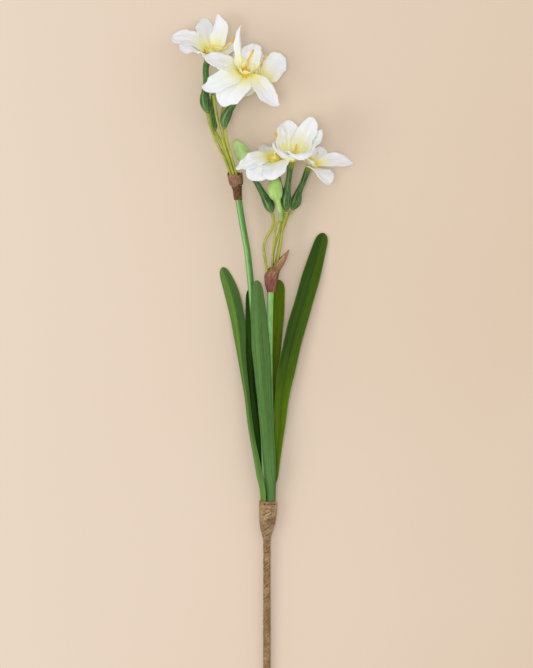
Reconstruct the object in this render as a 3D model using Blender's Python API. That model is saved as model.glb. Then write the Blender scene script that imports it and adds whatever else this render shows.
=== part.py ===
"""Faux daffodil spray: two clusters of small white daffodils on plastic scapes,
five strap leaves, papery spathes and a paper-wrapped handle, lying on a surface.

Plan: +X to the right, +Y from the cut end of the handle towards the flowers,
+Z up.  The tables below are in millimetres, measured from the handle's axis in X,
from its cut end in Y, and from the resting surface in Z.
"""
import bpy
import math
import numpy as np

for _old in list(bpy.data.objects):
    bpy.data.objects.remove(_old, do_unlink=True)

# ----------------------------------------------------------------- dimensions
MM = 0.001
BOX_CENTRE = (-3.445, 305.095)     # centre of the spray's plan outline, X and Y
GAP = 0.30                        # clearance between neighbouring pieces

# handle, its tape and the flared collar
CORE_RADIUS = 2.05
TAPE_OUTER = 3.15
TAPE_WALL = 0.70
HANDLE_END_Z = 3.15               # axis height at the cut end
COLLAR_Z = 8.0                    # axis height at the collar's rim
COLLAR_FOOT, COLLAR_RIM = 159.0, 194.3
COLLAR_WALL = 0.60
COLLAR_PROFILE = [                # Y, axis X, outer radius
    (159.0, 0.00, 3.10), (161.5, 0.10, 3.25), (167.0, -0.10, 4.50),
    (172.0, 0.10, 5.90), (177.0, 0.40, 6.90), (186.0, 1.00, 7.60),
    (194.3, 1.05, 7.65)]
LEAF_CLASP = 6.20                 # radius of the leaf feet inside the collar
LEAF_THICK = 0.80

# two main stems
SCAPE_TALL_R = 2.75
SCAPE_TALL = [(-1.9, 177.5, 7.8), (-2.0, 196.0, 8.1), (-1.9, 235.0, 10.4),
              (-3.3, 260.0, 12.0), (-5.4, 281.0, 13.4), (-10.5, 340.5, 17.2), (-14.0, 384.3, 20.0),
              (-16.7, 408.5, 21.5), (-20.5, 429.8, 22.8), (-24.9, 457.0, 24.0)]
SCAPE_SHORT_R = 2.70
SCAPE_SHORT = [(3.9, 177.5, 7.8), (3.8, 196.0, 8.1), (4.0, 235.0, 10.4), (3.2, 264.0, 12.2),
               (2.2, 330.0, 16.6), (3.4, 380.0, 19.8)]

PEDICEL_R = 1.05

# ------------------------------------------------------------------- numerics


def smoothstep(x):
    x = np.clip(x, 0.0, 1.0)
    return x * x * (3.0 - 2.0 * x)


def unit(v):
    v = np.asarray(v, float)
    return v / np.linalg.norm(v)


def handle_z(y):
    return HANDLE_END_Z + (COLLAR_Z - HANDLE_END_Z) * y / COLLAR_RIM


def spline(points, count=None, at=None):
    """Smooth curve through points; samples evenly spaced along its length."""
    p = np.asarray(points, float)
    k = np.concatenate([[0.0], np.cumsum(np.linalg.norm(np.diff(p[:, :3], axis=0), axis=1))])
    m = np.zeros_like(p)
    for i in range(1, len(p) - 1):
        h0, h1 = k[i] - k[i - 1], k[i + 1] - k[i]
        m[i] = ((p[i] - p[i - 1]) / h0 * h1 + (p[i + 1] - p[i]) / h1 * h0) / (h0 + h1)
    m[0] = 1.5 * (p[1] - p[0]) / (k[1] - k[0]) - 0.5 * m[1] if len(p) > 2 else p[1] - p[0]
    m[-1] = 1.5 * (p[-1] - p[-2]) / (k[-1] - k[-2]) - 0.5 * m[-2] if len(p) > 2 else p[-1] - p[-2]
    if len(p) == 2:
        m /= (k[1] - k[0])
    dense = np.linspace(0.0, k[-1], 600)
    i = np.clip(np.searchsorted(k, dense, side="right") - 1, 0, len(p) - 2)
    h = (k[i + 1] - k[i])[:, None]
    u = ((dense - k[i])[:, None]) / h
    out = ((2 * u**3 - 3 * u**2 + 1) * p[i] + (u**3 - 2 * u**2 + u) * h * m[i]
           + (-2 * u**3 + 3 * u**2) * p[i + 1] + (u**3 - u**2) * h * m[i + 1])
    arc = np.concatenate([[0.0], np.cumsum(np.linalg.norm(np.diff(out[:, :3], axis=0), axis=1))])
    want = (np.linspace(0.0, 1.0, count) if at is None else np.asarray(at)) * arc[-1]
    return np.stack([np.interp(want, arc, out[:, c]) for c in range(out.shape[1])], axis=1)


def tangents(path):
    t = np.gradient(path, axis=0)
    return t / np.linalg.norm(t, axis=1)[:, None]


def transport(tan, start):
    """Normals carried along a path without twist."""
    n = [unit(start - tan[0] * np.dot(start, tan[0]))]
    for i in range(1, len(tan)):
        v = n[-1] - tan[i] * np.dot(n[-1], tan[i])
        n.append(unit(v))
    return np.array(n)


# ------------------------------------------------------------------ materials


def plastic(name, colour, rough=0.45, metallic=0.0):
    mat = bpy.data.materials.new(name)
    mat.use_nodes = True
    bsdf = mat.node_tree.nodes["Principled BSDF"]
    bsdf.inputs["Base Color"].default_value = (*colour, 1.0)
    bsdf.inputs["Roughness"].default_value = rough
    bsdf.inputs["Metallic"].default_value = metallic
    return mat


def finish_of(kind, name):
    finishes = {
        "petal": ((0.86, 0.86, 0.82), 0.75), "corona": ((0.85, 0.80, 0.40), 0.70),
        "pistil": ((0.80, 0.45, 0.06), 0.55), "tube": ((0.06, 0.16, 0.05), 0.38),
        "pedicel": ((0.38, 0.42, 0.08), 0.45), "bud": ((0.42, 0.66, 0.28), 0.45),
        "scape": ((0.16, 0.36, 0.12), 0.40), "leaf": ((0.07, 0.17, 0.04), 0.42),
        "spathe": ((0.26, 0.12, 0.07), 0.80), "tape": ((0.36, 0.22, 0.11), 0.85),
        "core": ((0.12, 0.25, 0.08), 0.50)}
    if kind == "steel":
        return plastic(name + "_finish", (0.10, 0.09, 0.08), 0.35, 1.0)
    colour, rough = finishes[kind]
    return plastic(name + "_finish", colour, rough)


def to_world(points):
    p = np.asarray(points, float).copy()
    p[:, 0] -= BOX_CENTRE[0]
    p[:, 1] -= BOX_CENTRE[1]
    return p * MM


def add_sheet(name, kind, verts, faces, thick):
    """A thin sheet given by its mid-surface, thickened evenly on both sides."""
    verts = np.array(verts, float)
    verts[:, 2] = np.maximum(verts[:, 2], thick / 2)        # rests, never sinks
    mesh = bpy.data.meshes.new(name)
    mesh.from_pydata([tuple(v) for v in to_world(verts)], [], faces)
    mesh.update()
    ob = bpy.data.objects.new(name, mesh)
    bpy.context.collection.objects.link(ob)
    mod = ob.modifiers.new("thickness", "SOLIDIFY")
    mod.thickness = thick * MM
    mod.offset = 0.0
    mod.use_even_offset = False
    mod.use_rim = True
    mesh.materials.append(finish_of(kind, name))
    mesh.shade_smooth()
    return ob


def add_rod(name, kind, path, radii, sides=2):
    """A round rod of changing radius: a bevelled poly curve with filled ends.
    sides is the curve's bevel resolution."""
    path = to_world(path)
    curve = bpy.data.curves.new(name, "CURVE")
    curve.dimensions = "3D"
    curve.bevel_depth = 1.0 * MM
    curve.bevel_resolution = sides
    curve.use_fill_caps = True
    curve.twist_mode = "MINIMUM"
    sp = curve.splines.new("POLY")
    sp.points.add(len(path) - 1)
    for pt, co, r in zip(sp.points, path, radii):
        pt.co = (*co, 1.0)
        pt.radius = float(r)
    sp.use_smooth = True
    ob = bpy.data.objects.new(name, curve)
    bpy.context.collection.objects.link(ob)
    curve.materials.append(finish_of(kind, name))
    return ob


# ------------------------------------------------------------------- surfaces


def grid_faces(rows, cols, closed=False, start=0):
    f = []
    for r in range(rows - 1):
        for c in range(cols if closed else cols - 1):
            d = (c + 1) % cols
            a, b = start + r * cols, start + (r + 1) * cols
            f.append((a + c, b + c, b + d, a + d))
    return f


RING_HOLE = 1.35                 # hole for the pistil's peg
RING_R = 5.2                     # where the petals leave the throat
HALF_BASE = math.radians(35)     # half of a petal's foot on the ring


def petal_width(s, base, half):
    """Half width along a petal, foot to tip: ovate with a soft point."""
    grow = smoothstep(s / 0.50) ** 0.85
    body = base + (half - base) * grow
    u = np.clip((s - 0.48) / 0.52, 0.0, 1.0)
    return body * (1.0 - u**2.3) ** 0.60


def petal_rows(count):
    e = np.linspace(0.0, 1.0, count + 1)
    return 1.0 - (1.0 - e) ** 1.25


def petal_grid(centre, axis, u, v, p, ns, nt):
    """Mid-surface of one petal: rows from the ring to the tip."""
    phi = math.radians(p["phi"])
    beta = math.radians(p.get("rise", 40))
    rad = math.cos(phi) * u + math.sin(phi) * v
    tip = np.array(p["tip"], float)
    p0 = centre + rad * RING_R
    d0 = math.cos(beta) * rad + math.sin(beta) * axis
    reach = np.linalg.norm(tip - p0)
    p1 = p0 + d0 * reach * p.get("k1", 0.36)
    d1 = unit(unit(tip - p1) + p.get("curl", 0.0) * axis)
    p2 = tip - d1 * reach * p.get("k2", 0.34)
    if "mid" in p:                      # where the petal's middle goes: x, y[, z]
        m = (p0 + 3 * p1 + 3 * p2 + tip) / 8
        shift = np.append(p["mid"], m[2])[:3] - m
        p1 = p1 + 0.6 * shift
        p2 = p2 + 2.0 * shift
    s = petal_rows(ns)
    fine = np.linspace(0.0, 1.0, 161)

    def bez(q):
        q = q[:, None]
        return ((1 - q)**3 * p0 + 3 * (1 - q)**2 * q * p1
                + 3 * (1 - q) * q**2 * p2 + q**3 * tip)
    curve = bez(fine)
    tan = tangents(curve)
    nor = transport(tan, -math.sin(beta) * rad + math.cos(beta) * axis)
    arc = np.concatenate([[0.0], np.cumsum(np.linalg.norm(np.diff(curve, axis=0), axis=1))])
    arc /= arc[-1]
    idx = np.interp(s, arc, np.arange(161))

    def pick(a):
        return np.stack([np.interp(idx, np.arange(161), a[:, c]) for c in range(3)], axis=1)
    cen, tan, nor = pick(curve), pick(tan), pick(nor)
    tan /= np.linalg.norm(tan, axis=1)[:, None]
    nor -= tan * np.sum(nor * tan, axis=1)[:, None]
    nor /= np.linalg.norm(nor, axis=1)[:, None]
    bi = np.cross(nor, tan)
    roll = np.radians(p.get("roll", 0.0)) * smoothstep(s / 0.8)
    cr, sr = np.cos(roll)[:, None], np.sin(roll)[:, None]
    bi, nor = bi * cr + nor * sr, nor * cr - bi * sr
    half = petal_width(s, RING_R * math.sin(HALF_BASE), p["width"] / 2)
    t = np.linspace(-1.0, 1.0, nt + 1)
    ease = smoothstep(s / 0.35)
    cup = np.radians(p.get("cup", 20.0)) * ease
    left = np.radians(p.get("left", 0.0)) * ease
    right = np.radians(p.get("right", 0.0)) * ease
    out = np.zeros((ns + 1, nt + 1, 3))
    for i in range(ns + 1):
        k = max(abs(cup[i]), 1e-4)
        x = half[i] * np.sin(k * t) / k
        n = half[i] * (1 - np.cos(k * t)) / k * (1 if cup[i] >= 0 else -1)
        h = np.where(t < 0, left[i], right[i])
        side = np.where(t < 0, -1.0, 1.0)
        xa = np.abs(x)
        x2 = side * (xa * np.cos(h) - n * np.sin(h))
        n2 = n * np.cos(h) + xa * np.sin(h)
        back = (1 - smoothstep(s[i] / 0.25)) * RING_R * (np.cos(HALF_BASE * t) - 1)
        out[i] = (cen[i] + bi[i] * x2[:, None] + nor[i] * n2[:, None] + rad * back[:, None])
    for j, tj in enumerate(t):
        a = phi + tj * HALF_BASE
        out[0, j] = centre + RING_R * (math.cos(a) * u + math.sin(a) * v)
    return out


def flower_frame(base, axis):
    a = unit(axis)
    u = unit(np.array([1.0, 0, 0]) - a[0] * a)
    return a, u, np.cross(a, u)


def petal_layer(base, axis, lift, petals, ns=7, nt=4):
    """One die-cut layer: a small ring with a hole and its petals."""
    a, u, v = flower_frame(base, axis)
    centre = np.asarray(base, float) + a * lift
    petals = sorted(petals, key=lambda q: q["phi"])
    verts, faces, angles, owner = [], [], [], []
    for i, p in enumerate(petals):
        phi = math.radians(p["phi"])
        nxt = math.radians(petals[(i + 1) % len(petals)]["phi"]) + (2 * math.pi if i + 1 == len(petals) else 0)
        for tj in np.linspace(-1, 1, nt + 1):
            angles.append(phi + tj * HALF_BASE)
            owner.append(i)
        lo, hi = phi + HALF_BASE, nxt - HALF_BASE
        angles.append((lo + hi) / 2)
        owner.append(-1)
    n = len(angles)
    for r in (RING_HOLE, RING_R):
        for g in angles:
            verts.append(centre + r * (math.cos(g) * u + math.sin(g) * v))
    for k in range(n):
        d = (k + 1) % n
        faces.append((k, n + k, n + d, d))
    for i, p in enumerate(petals):
        g = petal_grid(centre, a, u, v, p, ns, nt)
        row = [n + k for k in range(n) if owner[k] == i]
        for r in range(1, ns):
            new = list(range(len(verts), len(verts) + nt + 1))
            verts.extend(g[r])
            for c in range(nt):
                faces.append((row[c], new[c], new[c + 1], row[c + 1]))
            row = new
        verts.append(g[ns, nt // 2])
        t = len(verts) - 1
        for c in range(nt):
            faces.append((row[c], t, row[c + 1]))
    return verts, faces


def corona(base, axis, lift, floor_r, rim_r, height, lobes=6, around=12, phase=0.0, wave=0.8):
    """Small ragged cup on the throat: floor with a hole, then a flaring wall."""
    a, u, v = flower_frame(base, axis)
    c = np.asarray(base, float) + a * lift
    rows = [(RING_HOLE, 0.0, 0.0), (floor_r * 0.92, 0.0, 0.0),
            (floor_r + (rim_r - floor_r) * 0.45, height * 0.42, 0.3),
            (rim_r, height, 1.0)]
    verts = []
    for r, h, w in rows:
        for k in range(around):
            g = 2 * math.pi * k / around
            lobe = math.cos(lobes * (g - phase))
            rr = r + 0.35 * w * lobe
            hh = h + wave * w * lobe
            verts.append(c + rr * (math.cos(g) * u + math.sin(g) * v) + a * hh)
    faces = grid_faces(len(rows), around, closed=True)
    return verts, faces


def leaf_sheet(stations, fold, arc_deg, ns=14, nt=4):
    """Strap leaf: stations are (x, y, z, width) up the blade, the last is the tip.
    The foot clasps the stems inside the collar over the arc given in degrees."""
    st = np.array(stations, float)
    foot_y = 184.5
    c = np.vstack([[st[0][0], foot_y, st[0][2], st[0][3]], st])
    length = np.sum(np.linalg.norm(np.diff(c[:, :3], axis=0), axis=1))
    ends = 1.0 - np.array([9.0, 5.6, 3.0, 1.2, 0.0]) / length
    at = np.concatenate([[0.0], np.linspace(11.0 / length, ends[0], ns - 4), ends[1:]])
    pts = spline(c, at=at)
    cen, wid = pts[:, :3], pts[:, 3]
    # blunt rounded tip
    run = np.linalg.norm(cen - cen[-1], axis=1)
    full = np.interp(6.0, run[::-1], wid[::-1])
    tan = tangents(cen)
    verts = []
    t = np.linspace(-1, 1, nt + 1)
    for i in range(ns):
        b = unit(np.array([tan[i][1], -tan[i][0], 0.0]))
        n = np.cross(b, tan[i])
        half = wid[i] / 2
        near = run[i] / 9.0
        if near < 1.0:
            half = max(half, full / 2) * math.sqrt(max(0.0, 1 - (1 - near)**2.2))
        ang = math.radians(fold) * smoothstep((cen[i][1] - 200.0) / 60.0)
        blade = (cen[i] + np.outer(half * t * math.cos(ang), b)
                 + np.outer(np.abs(t) * half * math.sin(ang), n))
        a0, a1 = np.radians(arc_deg[0]), np.radians(arc_deg[1])
        g = a0 + (a1 - a0) * (t + 1) / 2
        y = cen[i][1]
        cx = np.interp(y, [q[0] for q in COLLAR_PROFILE], [q[1] for q in COLLAR_PROFILE])
        cz = handle_z(y)
        clasp = np.stack([cx + LEAF_CLASP * np.cos(g), np.full(nt + 1, y),
                          cz + LEAF_CLASP * np.sin(g)], axis=1)
        w = float(smoothstep((y - 194.5) / 22.0))
        verts.extend(clasp * (1 - w) + blade * w)
    verts.append(cen[-1])
    faces = []
    cols = nt + 1
    for r in range(ns - 1):
        for k in range(nt):
            a, b2 = r * cols + k, (r + 1) * cols + k
            faces.append((a, a + 1, b2 + 1, b2))
    tip, last = len(verts) - 1, (ns - 1) * cols
    for k in range(nt):
        faces.append((last + k, last + k + 1, tip))
    return verts, faces


def wrapped_sheet(rows, cols):
    """Open-edged wrap, rolled round its axis.  Each row gives the centre, the
    radius, the half angle that the sheet covers and the angle of its middle."""
    verts = []
    for cx, y, cz, r, half, mid, lean in rows:
        for k in range(cols):
            t = -1 + 2 * k / (cols - 1)
            g = math.radians(mid + t * half)
            verts.append((cx + r * math.cos(g), y - lean * math.sin(g), cz + r * math.sin(g)))
    faces = []
    for r in range(len(rows) - 1):
        for k in range(cols - 1):
            a, b = r * cols + k, (r + 1) * cols + k
            faces.append((a, a + 1, b + 1, b))
    return verts, faces


# --------------------------------------------------------------------- handle


def build_handle():
    ys = [0.0, 40.0, 80.0, 120.0, 158.7]
    add_rod("handle_core", "core", [(0, y, handle_z(y)) for y in (0.0, 60.0, 120.0, 176.8)],
            [CORE_RADIUS] * 4, 2)
    around = 16
    verts = []
    mid = TAPE_OUTER - TAPE_WALL / 2
    for y in ys:
        for k in range(around):
            g = 2 * math.pi * k / around
            verts.append((mid * math.cos(g), y, handle_z(y) + mid * math.sin(g)))
    add_sheet("handle_wrap", "tape", verts,
              [f[::-1] for f in grid_faces(len(ys), around, closed=True)], TAPE_WALL)
    around = 20
    verts = []
    for y, x, r in COLLAR_PROFILE:
        for k in range(around):
            g = 2 * math.pi * k / around
            m = r - COLLAR_WALL / 2
            verts.append((x + m * math.cos(g), y, handle_z(y) + m * math.sin(g)))
    add_sheet("wrap_collar", "tape", verts,
              [f[::-1] for f in grid_faces(len(COLLAR_PROFILE), around, closed=True)],
              COLLAR_WALL)
    pts = []
    for k in range(7):
        g = math.radians(112 - 64 * k / 6)
        pts.append((1.05 + 8.35 * math.cos(g), 191.9, handle_z(191.9) + 8.35 * math.sin(g)))
    add_rod("collar_staple", "steel", pts, [0.35] * 7, 1)


def build_scapes():
    p = spline(SCAPE_TALL, 16)
    add_rod("scape_tall", "scape", p, [SCAPE_TALL_R] * 16, 3)
    p = spline(SCAPE_SHORT, 12)
    add_rod("scape_short", "scape", p, [SCAPE_SHORT_R] * 12, 3)


# --------------------------------------------------------------------- leaves
# stations: x, y, z, width; fold is the V angle of each half, + for raised edges;
# clasp is the arc of the foot round the stems, in degrees from +X towards +Z
LEAVES = {
    "leaf_left": dict(fold=-16, clasp=(170, 108), stations=[
        (-3.5, 196.0, 12.6, 5.6), (-7.8, 225.0, 13.2, 4.8), (-13.5, 255.5, 12.4, 4.2),
        (-17.0, 285.0, 10.6, 4.6), (-21.0, 314.5, 8.2, 6.9), (-25.0, 350.0, 4.8, 12.4),
        (-30.5, 373.7, 2.4, 12.4), (-35.8, 388.0, 1.2, 10.0), (-38.0, 393.8, 0.7, 8.0)]),
    "leaf_left_back": dict(fold=10, clasp=(238, 198), stations=[
        (-3.4, 196.0, 3.2, 6.0), (-4.9, 230.0, 3.0, 7.6), (-7.4, 259.0, 3.0, 8.6),
        (-10.9, 286.0, 3.0, 8.8), (-12.8, 312.0, 3.1, 9.2), (-14.0, 340.0, 3.4, 8.6),
        (-14.4, 359.0, 3.7, 7.6), (-15.0, 375.0, 4.0, 6.0)]),
    "leaf_front": dict(fold=-9, clasp=(96, 12), stations=[
        (3.8, 196.0, 14.6, 6.8), (3.1, 215.0, 16.2, 9.8), (1.7, 237.0, 18.4, 11.6),
        (0.2, 260.0, 20.2, 11.2), (-2.1, 284.0, 22.0, 12.4), (-3.6, 305.0, 23.4, 14.6),
        (-5.2, 325.0, 24.6, 15.6), (-6.6, 345.0, 25.6, 14.6), (-7.8, 366.0, 26.6, 11.6),
        (-8.5, 382.4, 27.4, 9.0)]),
    "leaf_right_back": dict(fold=-10, clasp=(282, 244), stations=[
        (1.0, 196.0, 2.2, 6.4), (1.0, 240.0, 2.4, 8.4), (1.6, 275.0, 2.6, 9.6),
        (3.0, 300.0, 2.8, 10.4), (5.6, 320.0, 3.2, 11.4), (7.9, 345.0, 3.8, 12.2),
        (9.0, 364.0, 4.4, 12.4), (10.4, 383.2, 5.2, 10.0)]),
    "leaf_right": dict(fold=14, clasp=(342, 288), stations=[
        (5.2, 196.0, 4.4, 6.0), (7.6, 225.0, 6.0, 6.4), (10.8, 255.5, 7.4, 9.0),
        (13.3, 286.0, 7.8, 13.2), (17.6, 310.0, 7.6, 15.4), (24.2, 339.0, 6.6, 16.2),
        (31.4, 364.0, 4.8, 16.4), (38.0, 387.0, 2.8, 15.8), (43.6, 406.6, 1.1, 13.6),
        (48.6, 423.2, 0.4, 10.0)]),
}


def build_leaves():
    for name, d in LEAVES.items():
        v, f = leaf_sheet(d["stations"], d["fold"], d["clasp"])
        add_sheet(name, "leaf", v, f, LEAF_THICK)


# -------------------------------------------------------------------- spathes


def build_spathes():
    # tall stem: a sheath with a narrow foot and a wider ragged mouth
    rows = []
    for y, x, z, r, lean in [(451.2, -24.2, 23.6, 3.45, 0.0), (456.0, -24.7, 23.9, 3.65, 0.0),
                             (461.5, -25.3, 24.2, 4.25, 0.0), (466.0, -26.1, 24.4, 5.30, 0.4),
                             (470.0, -26.8, 24.7, 5.60, 1.0), (473.6, -27.1, 24.9, 5.55, 2.0)]:
        rows.append((x, y, z, r, 174.0, 85.0, lean))
    v, f = wrapped_sheet(rows, 17)
    add_sheet("spathe_tall", "spathe", v, f, 0.5)
    # short stem: the same sheath drawn out to one side into a pointed tip
    rows = []
    for y, x, z, r, half in [(372.8, 3.4, 19.4, 3.25, 174.0), (377.5, 3.5, 19.7, 4.30, 174.0),
                             (383.0, 3.7, 20.0, 5.60, 172.0), (388.0, 4.0, 20.3, 6.20, 160.0),
                             (393.0, 6.2, 20.8, 6.10, 132.0), (398.5, 9.8, 21.4, 5.20, 112.0),
                             (403.5, 13.8, 22.0, 3.60, 100.0), (408.3, 18.0, 22.6, 0.90, 90.0)]:
        rows.append((x, y, z, r, half, 350.0, 0.0))
    v, f = wrapped_sheet(rows, 15)
    add_sheet("spathe_short", "spathe", v, f, 0.5)


# ------------------------------------------------------------ stalks and tubes
# small stalks inside each spathe up to the floral tubes
PEDICELS = {
    "pedicel_upper_left": [(-28.3, 463.5, 24.3), (-30.3, 471.5, 24.5), (-32.3, 477.4, 24.5), (-35.2, 485.0, 24.6),
                           (-39.2, 493.5, 24.5), (-44.0, 503.0, 24.2), (-47.6, 513.0, 23.9),
                           (-50.3, 524.6, 23.6)],
    "pedicel_upper_bud": [(-26.4, 463.5, 22.0), (-29.2, 475.5, 21.6), (-34.9, 490.0, 18.0),
                          (-39.2, 500.0, 15.6), (-44.2, 509.6, 13.2)],
    "pedicel_upper_small_bud": [(-26.4, 463.5, 26.6), (-29.4, 476.5, 28.0), (-33.8, 490.0, 29.0),
                                (-37.9, 503.0, 29.0), (-41.3, 516.0, 28.6), (-43.8, 530.0, 29.8),
                                (-45.2, 540.6, 30.8)],
    "pedicel_upper_right": [(-23.8, 463.5, 22.9), (-26.8, 475.5, 21.4), (-32.0, 492.0, 17.4),
                            (-35.6, 505.0, 13.6), (-37.9, 518.0, 11.0), (-37.4, 529.0, 10.2),
                            (-34.4, 535.2, 10.1)],
    "pedicel_upper_front": [(-23.8, 463.5, 25.8), (-26.9, 476.5, 27.2), (-31.4, 492.0, 29.4),
                            (-34.4, 503.0, 30.7), (-35.3, 511.0, 31.0)],
    "pedicel_lower_bud": [(1.2, 382.5, 20.2), (-1.2, 399.0, 20.0), (-2.6, 409.0, 19.7),
                          (-0.7, 418.5, 20.2), (4.2, 426.5, 21.4), (5.6, 433.0, 21.6),
                          (4.6, 439.2, 21.1)],
    "pedicel_lower_small_bud": [(3.5, 382.5, 22.7), (4.3, 395.0, 24.2), (5.2, 409.0, 26.0),
                                (6.7, 421.0, 27.7), (7.4, 427.0, 28.5), (8.6, 430.4, 28.9), (11.3, 432.2, 29.2)],
    "pedicel_lower_centre": [(6.1, 382.5, 21.0), (9.5, 400.9, 22.4), (11.7, 414.2, 23.4),
                             (13.2, 424.5, 24.0), (14.9, 434.6, 24.6), (16.7, 439.9, 24.9)],
    "pedicel_lower_right": [(5.3, 382.5, 18.2), (8.0, 400.0, 18.7), (11.6, 417.0, 17.0),
                            (14.2, 428.0, 16.6), (17.2, 436.0, 16.8), (20.8, 442.0, 17.0)],
    "pedicel_lower_left": [(2.5, 382.5, 18.0), (4.4, 396.0, 18.4), (6.9, 413.2, 17.4),
                           (10.9, 424.6, 15.8), (13.3, 434.0, 15.0), (13.8, 447.8, 15.0)],
}

# floral tube: bottom, then points up to the throat; last is the flower's base
TUBE_PROFILE = [(0.00, 1.35), (0.05, 2.35), (0.11, 3.70), (0.18, 4.45), (0.26, 4.20),
                (0.36, 3.25), (0.50, 2.65), (0.70, 2.50), (0.86, 2.80), (0.95, 3.35), (1.00, 3.80)]


def tube_path(points, axis=None):
    p = [np.array(q, float) for q in points]
    if axis is not None:
        p = p[:-1] + [p[-1] - unit(axis) * 5.0, p[-1] - unit(axis) * 2.2, p[-1]]
    return p


def build_tube(name, points, axis, profile=TUBE_PROFILE, fat=1.0):
    at = [q[0] for q in profile]
    path = spline(tube_path(points, axis), at=at)
    add_rod(name, "tube", path, [q[1] * fat for q in profile], 3)


BUD_TUBE_PROFILE = [(0.00, 1.35), (0.05, 2.35), (0.11, 3.80), (0.19, 4.60), (0.28, 4.35),
                    (0.40, 3.30), (0.56, 2.60), (0.78, 2.05), (1.00, 1.80)]


def build_pedicels():
    for name, pts in PEDICELS.items():
        n = 8
        add_rod(name, "pedicel", spline(pts, n),
                list(PEDICEL_R + 0.22 * np.linspace(0, 1, n) ** 6), 1)


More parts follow.
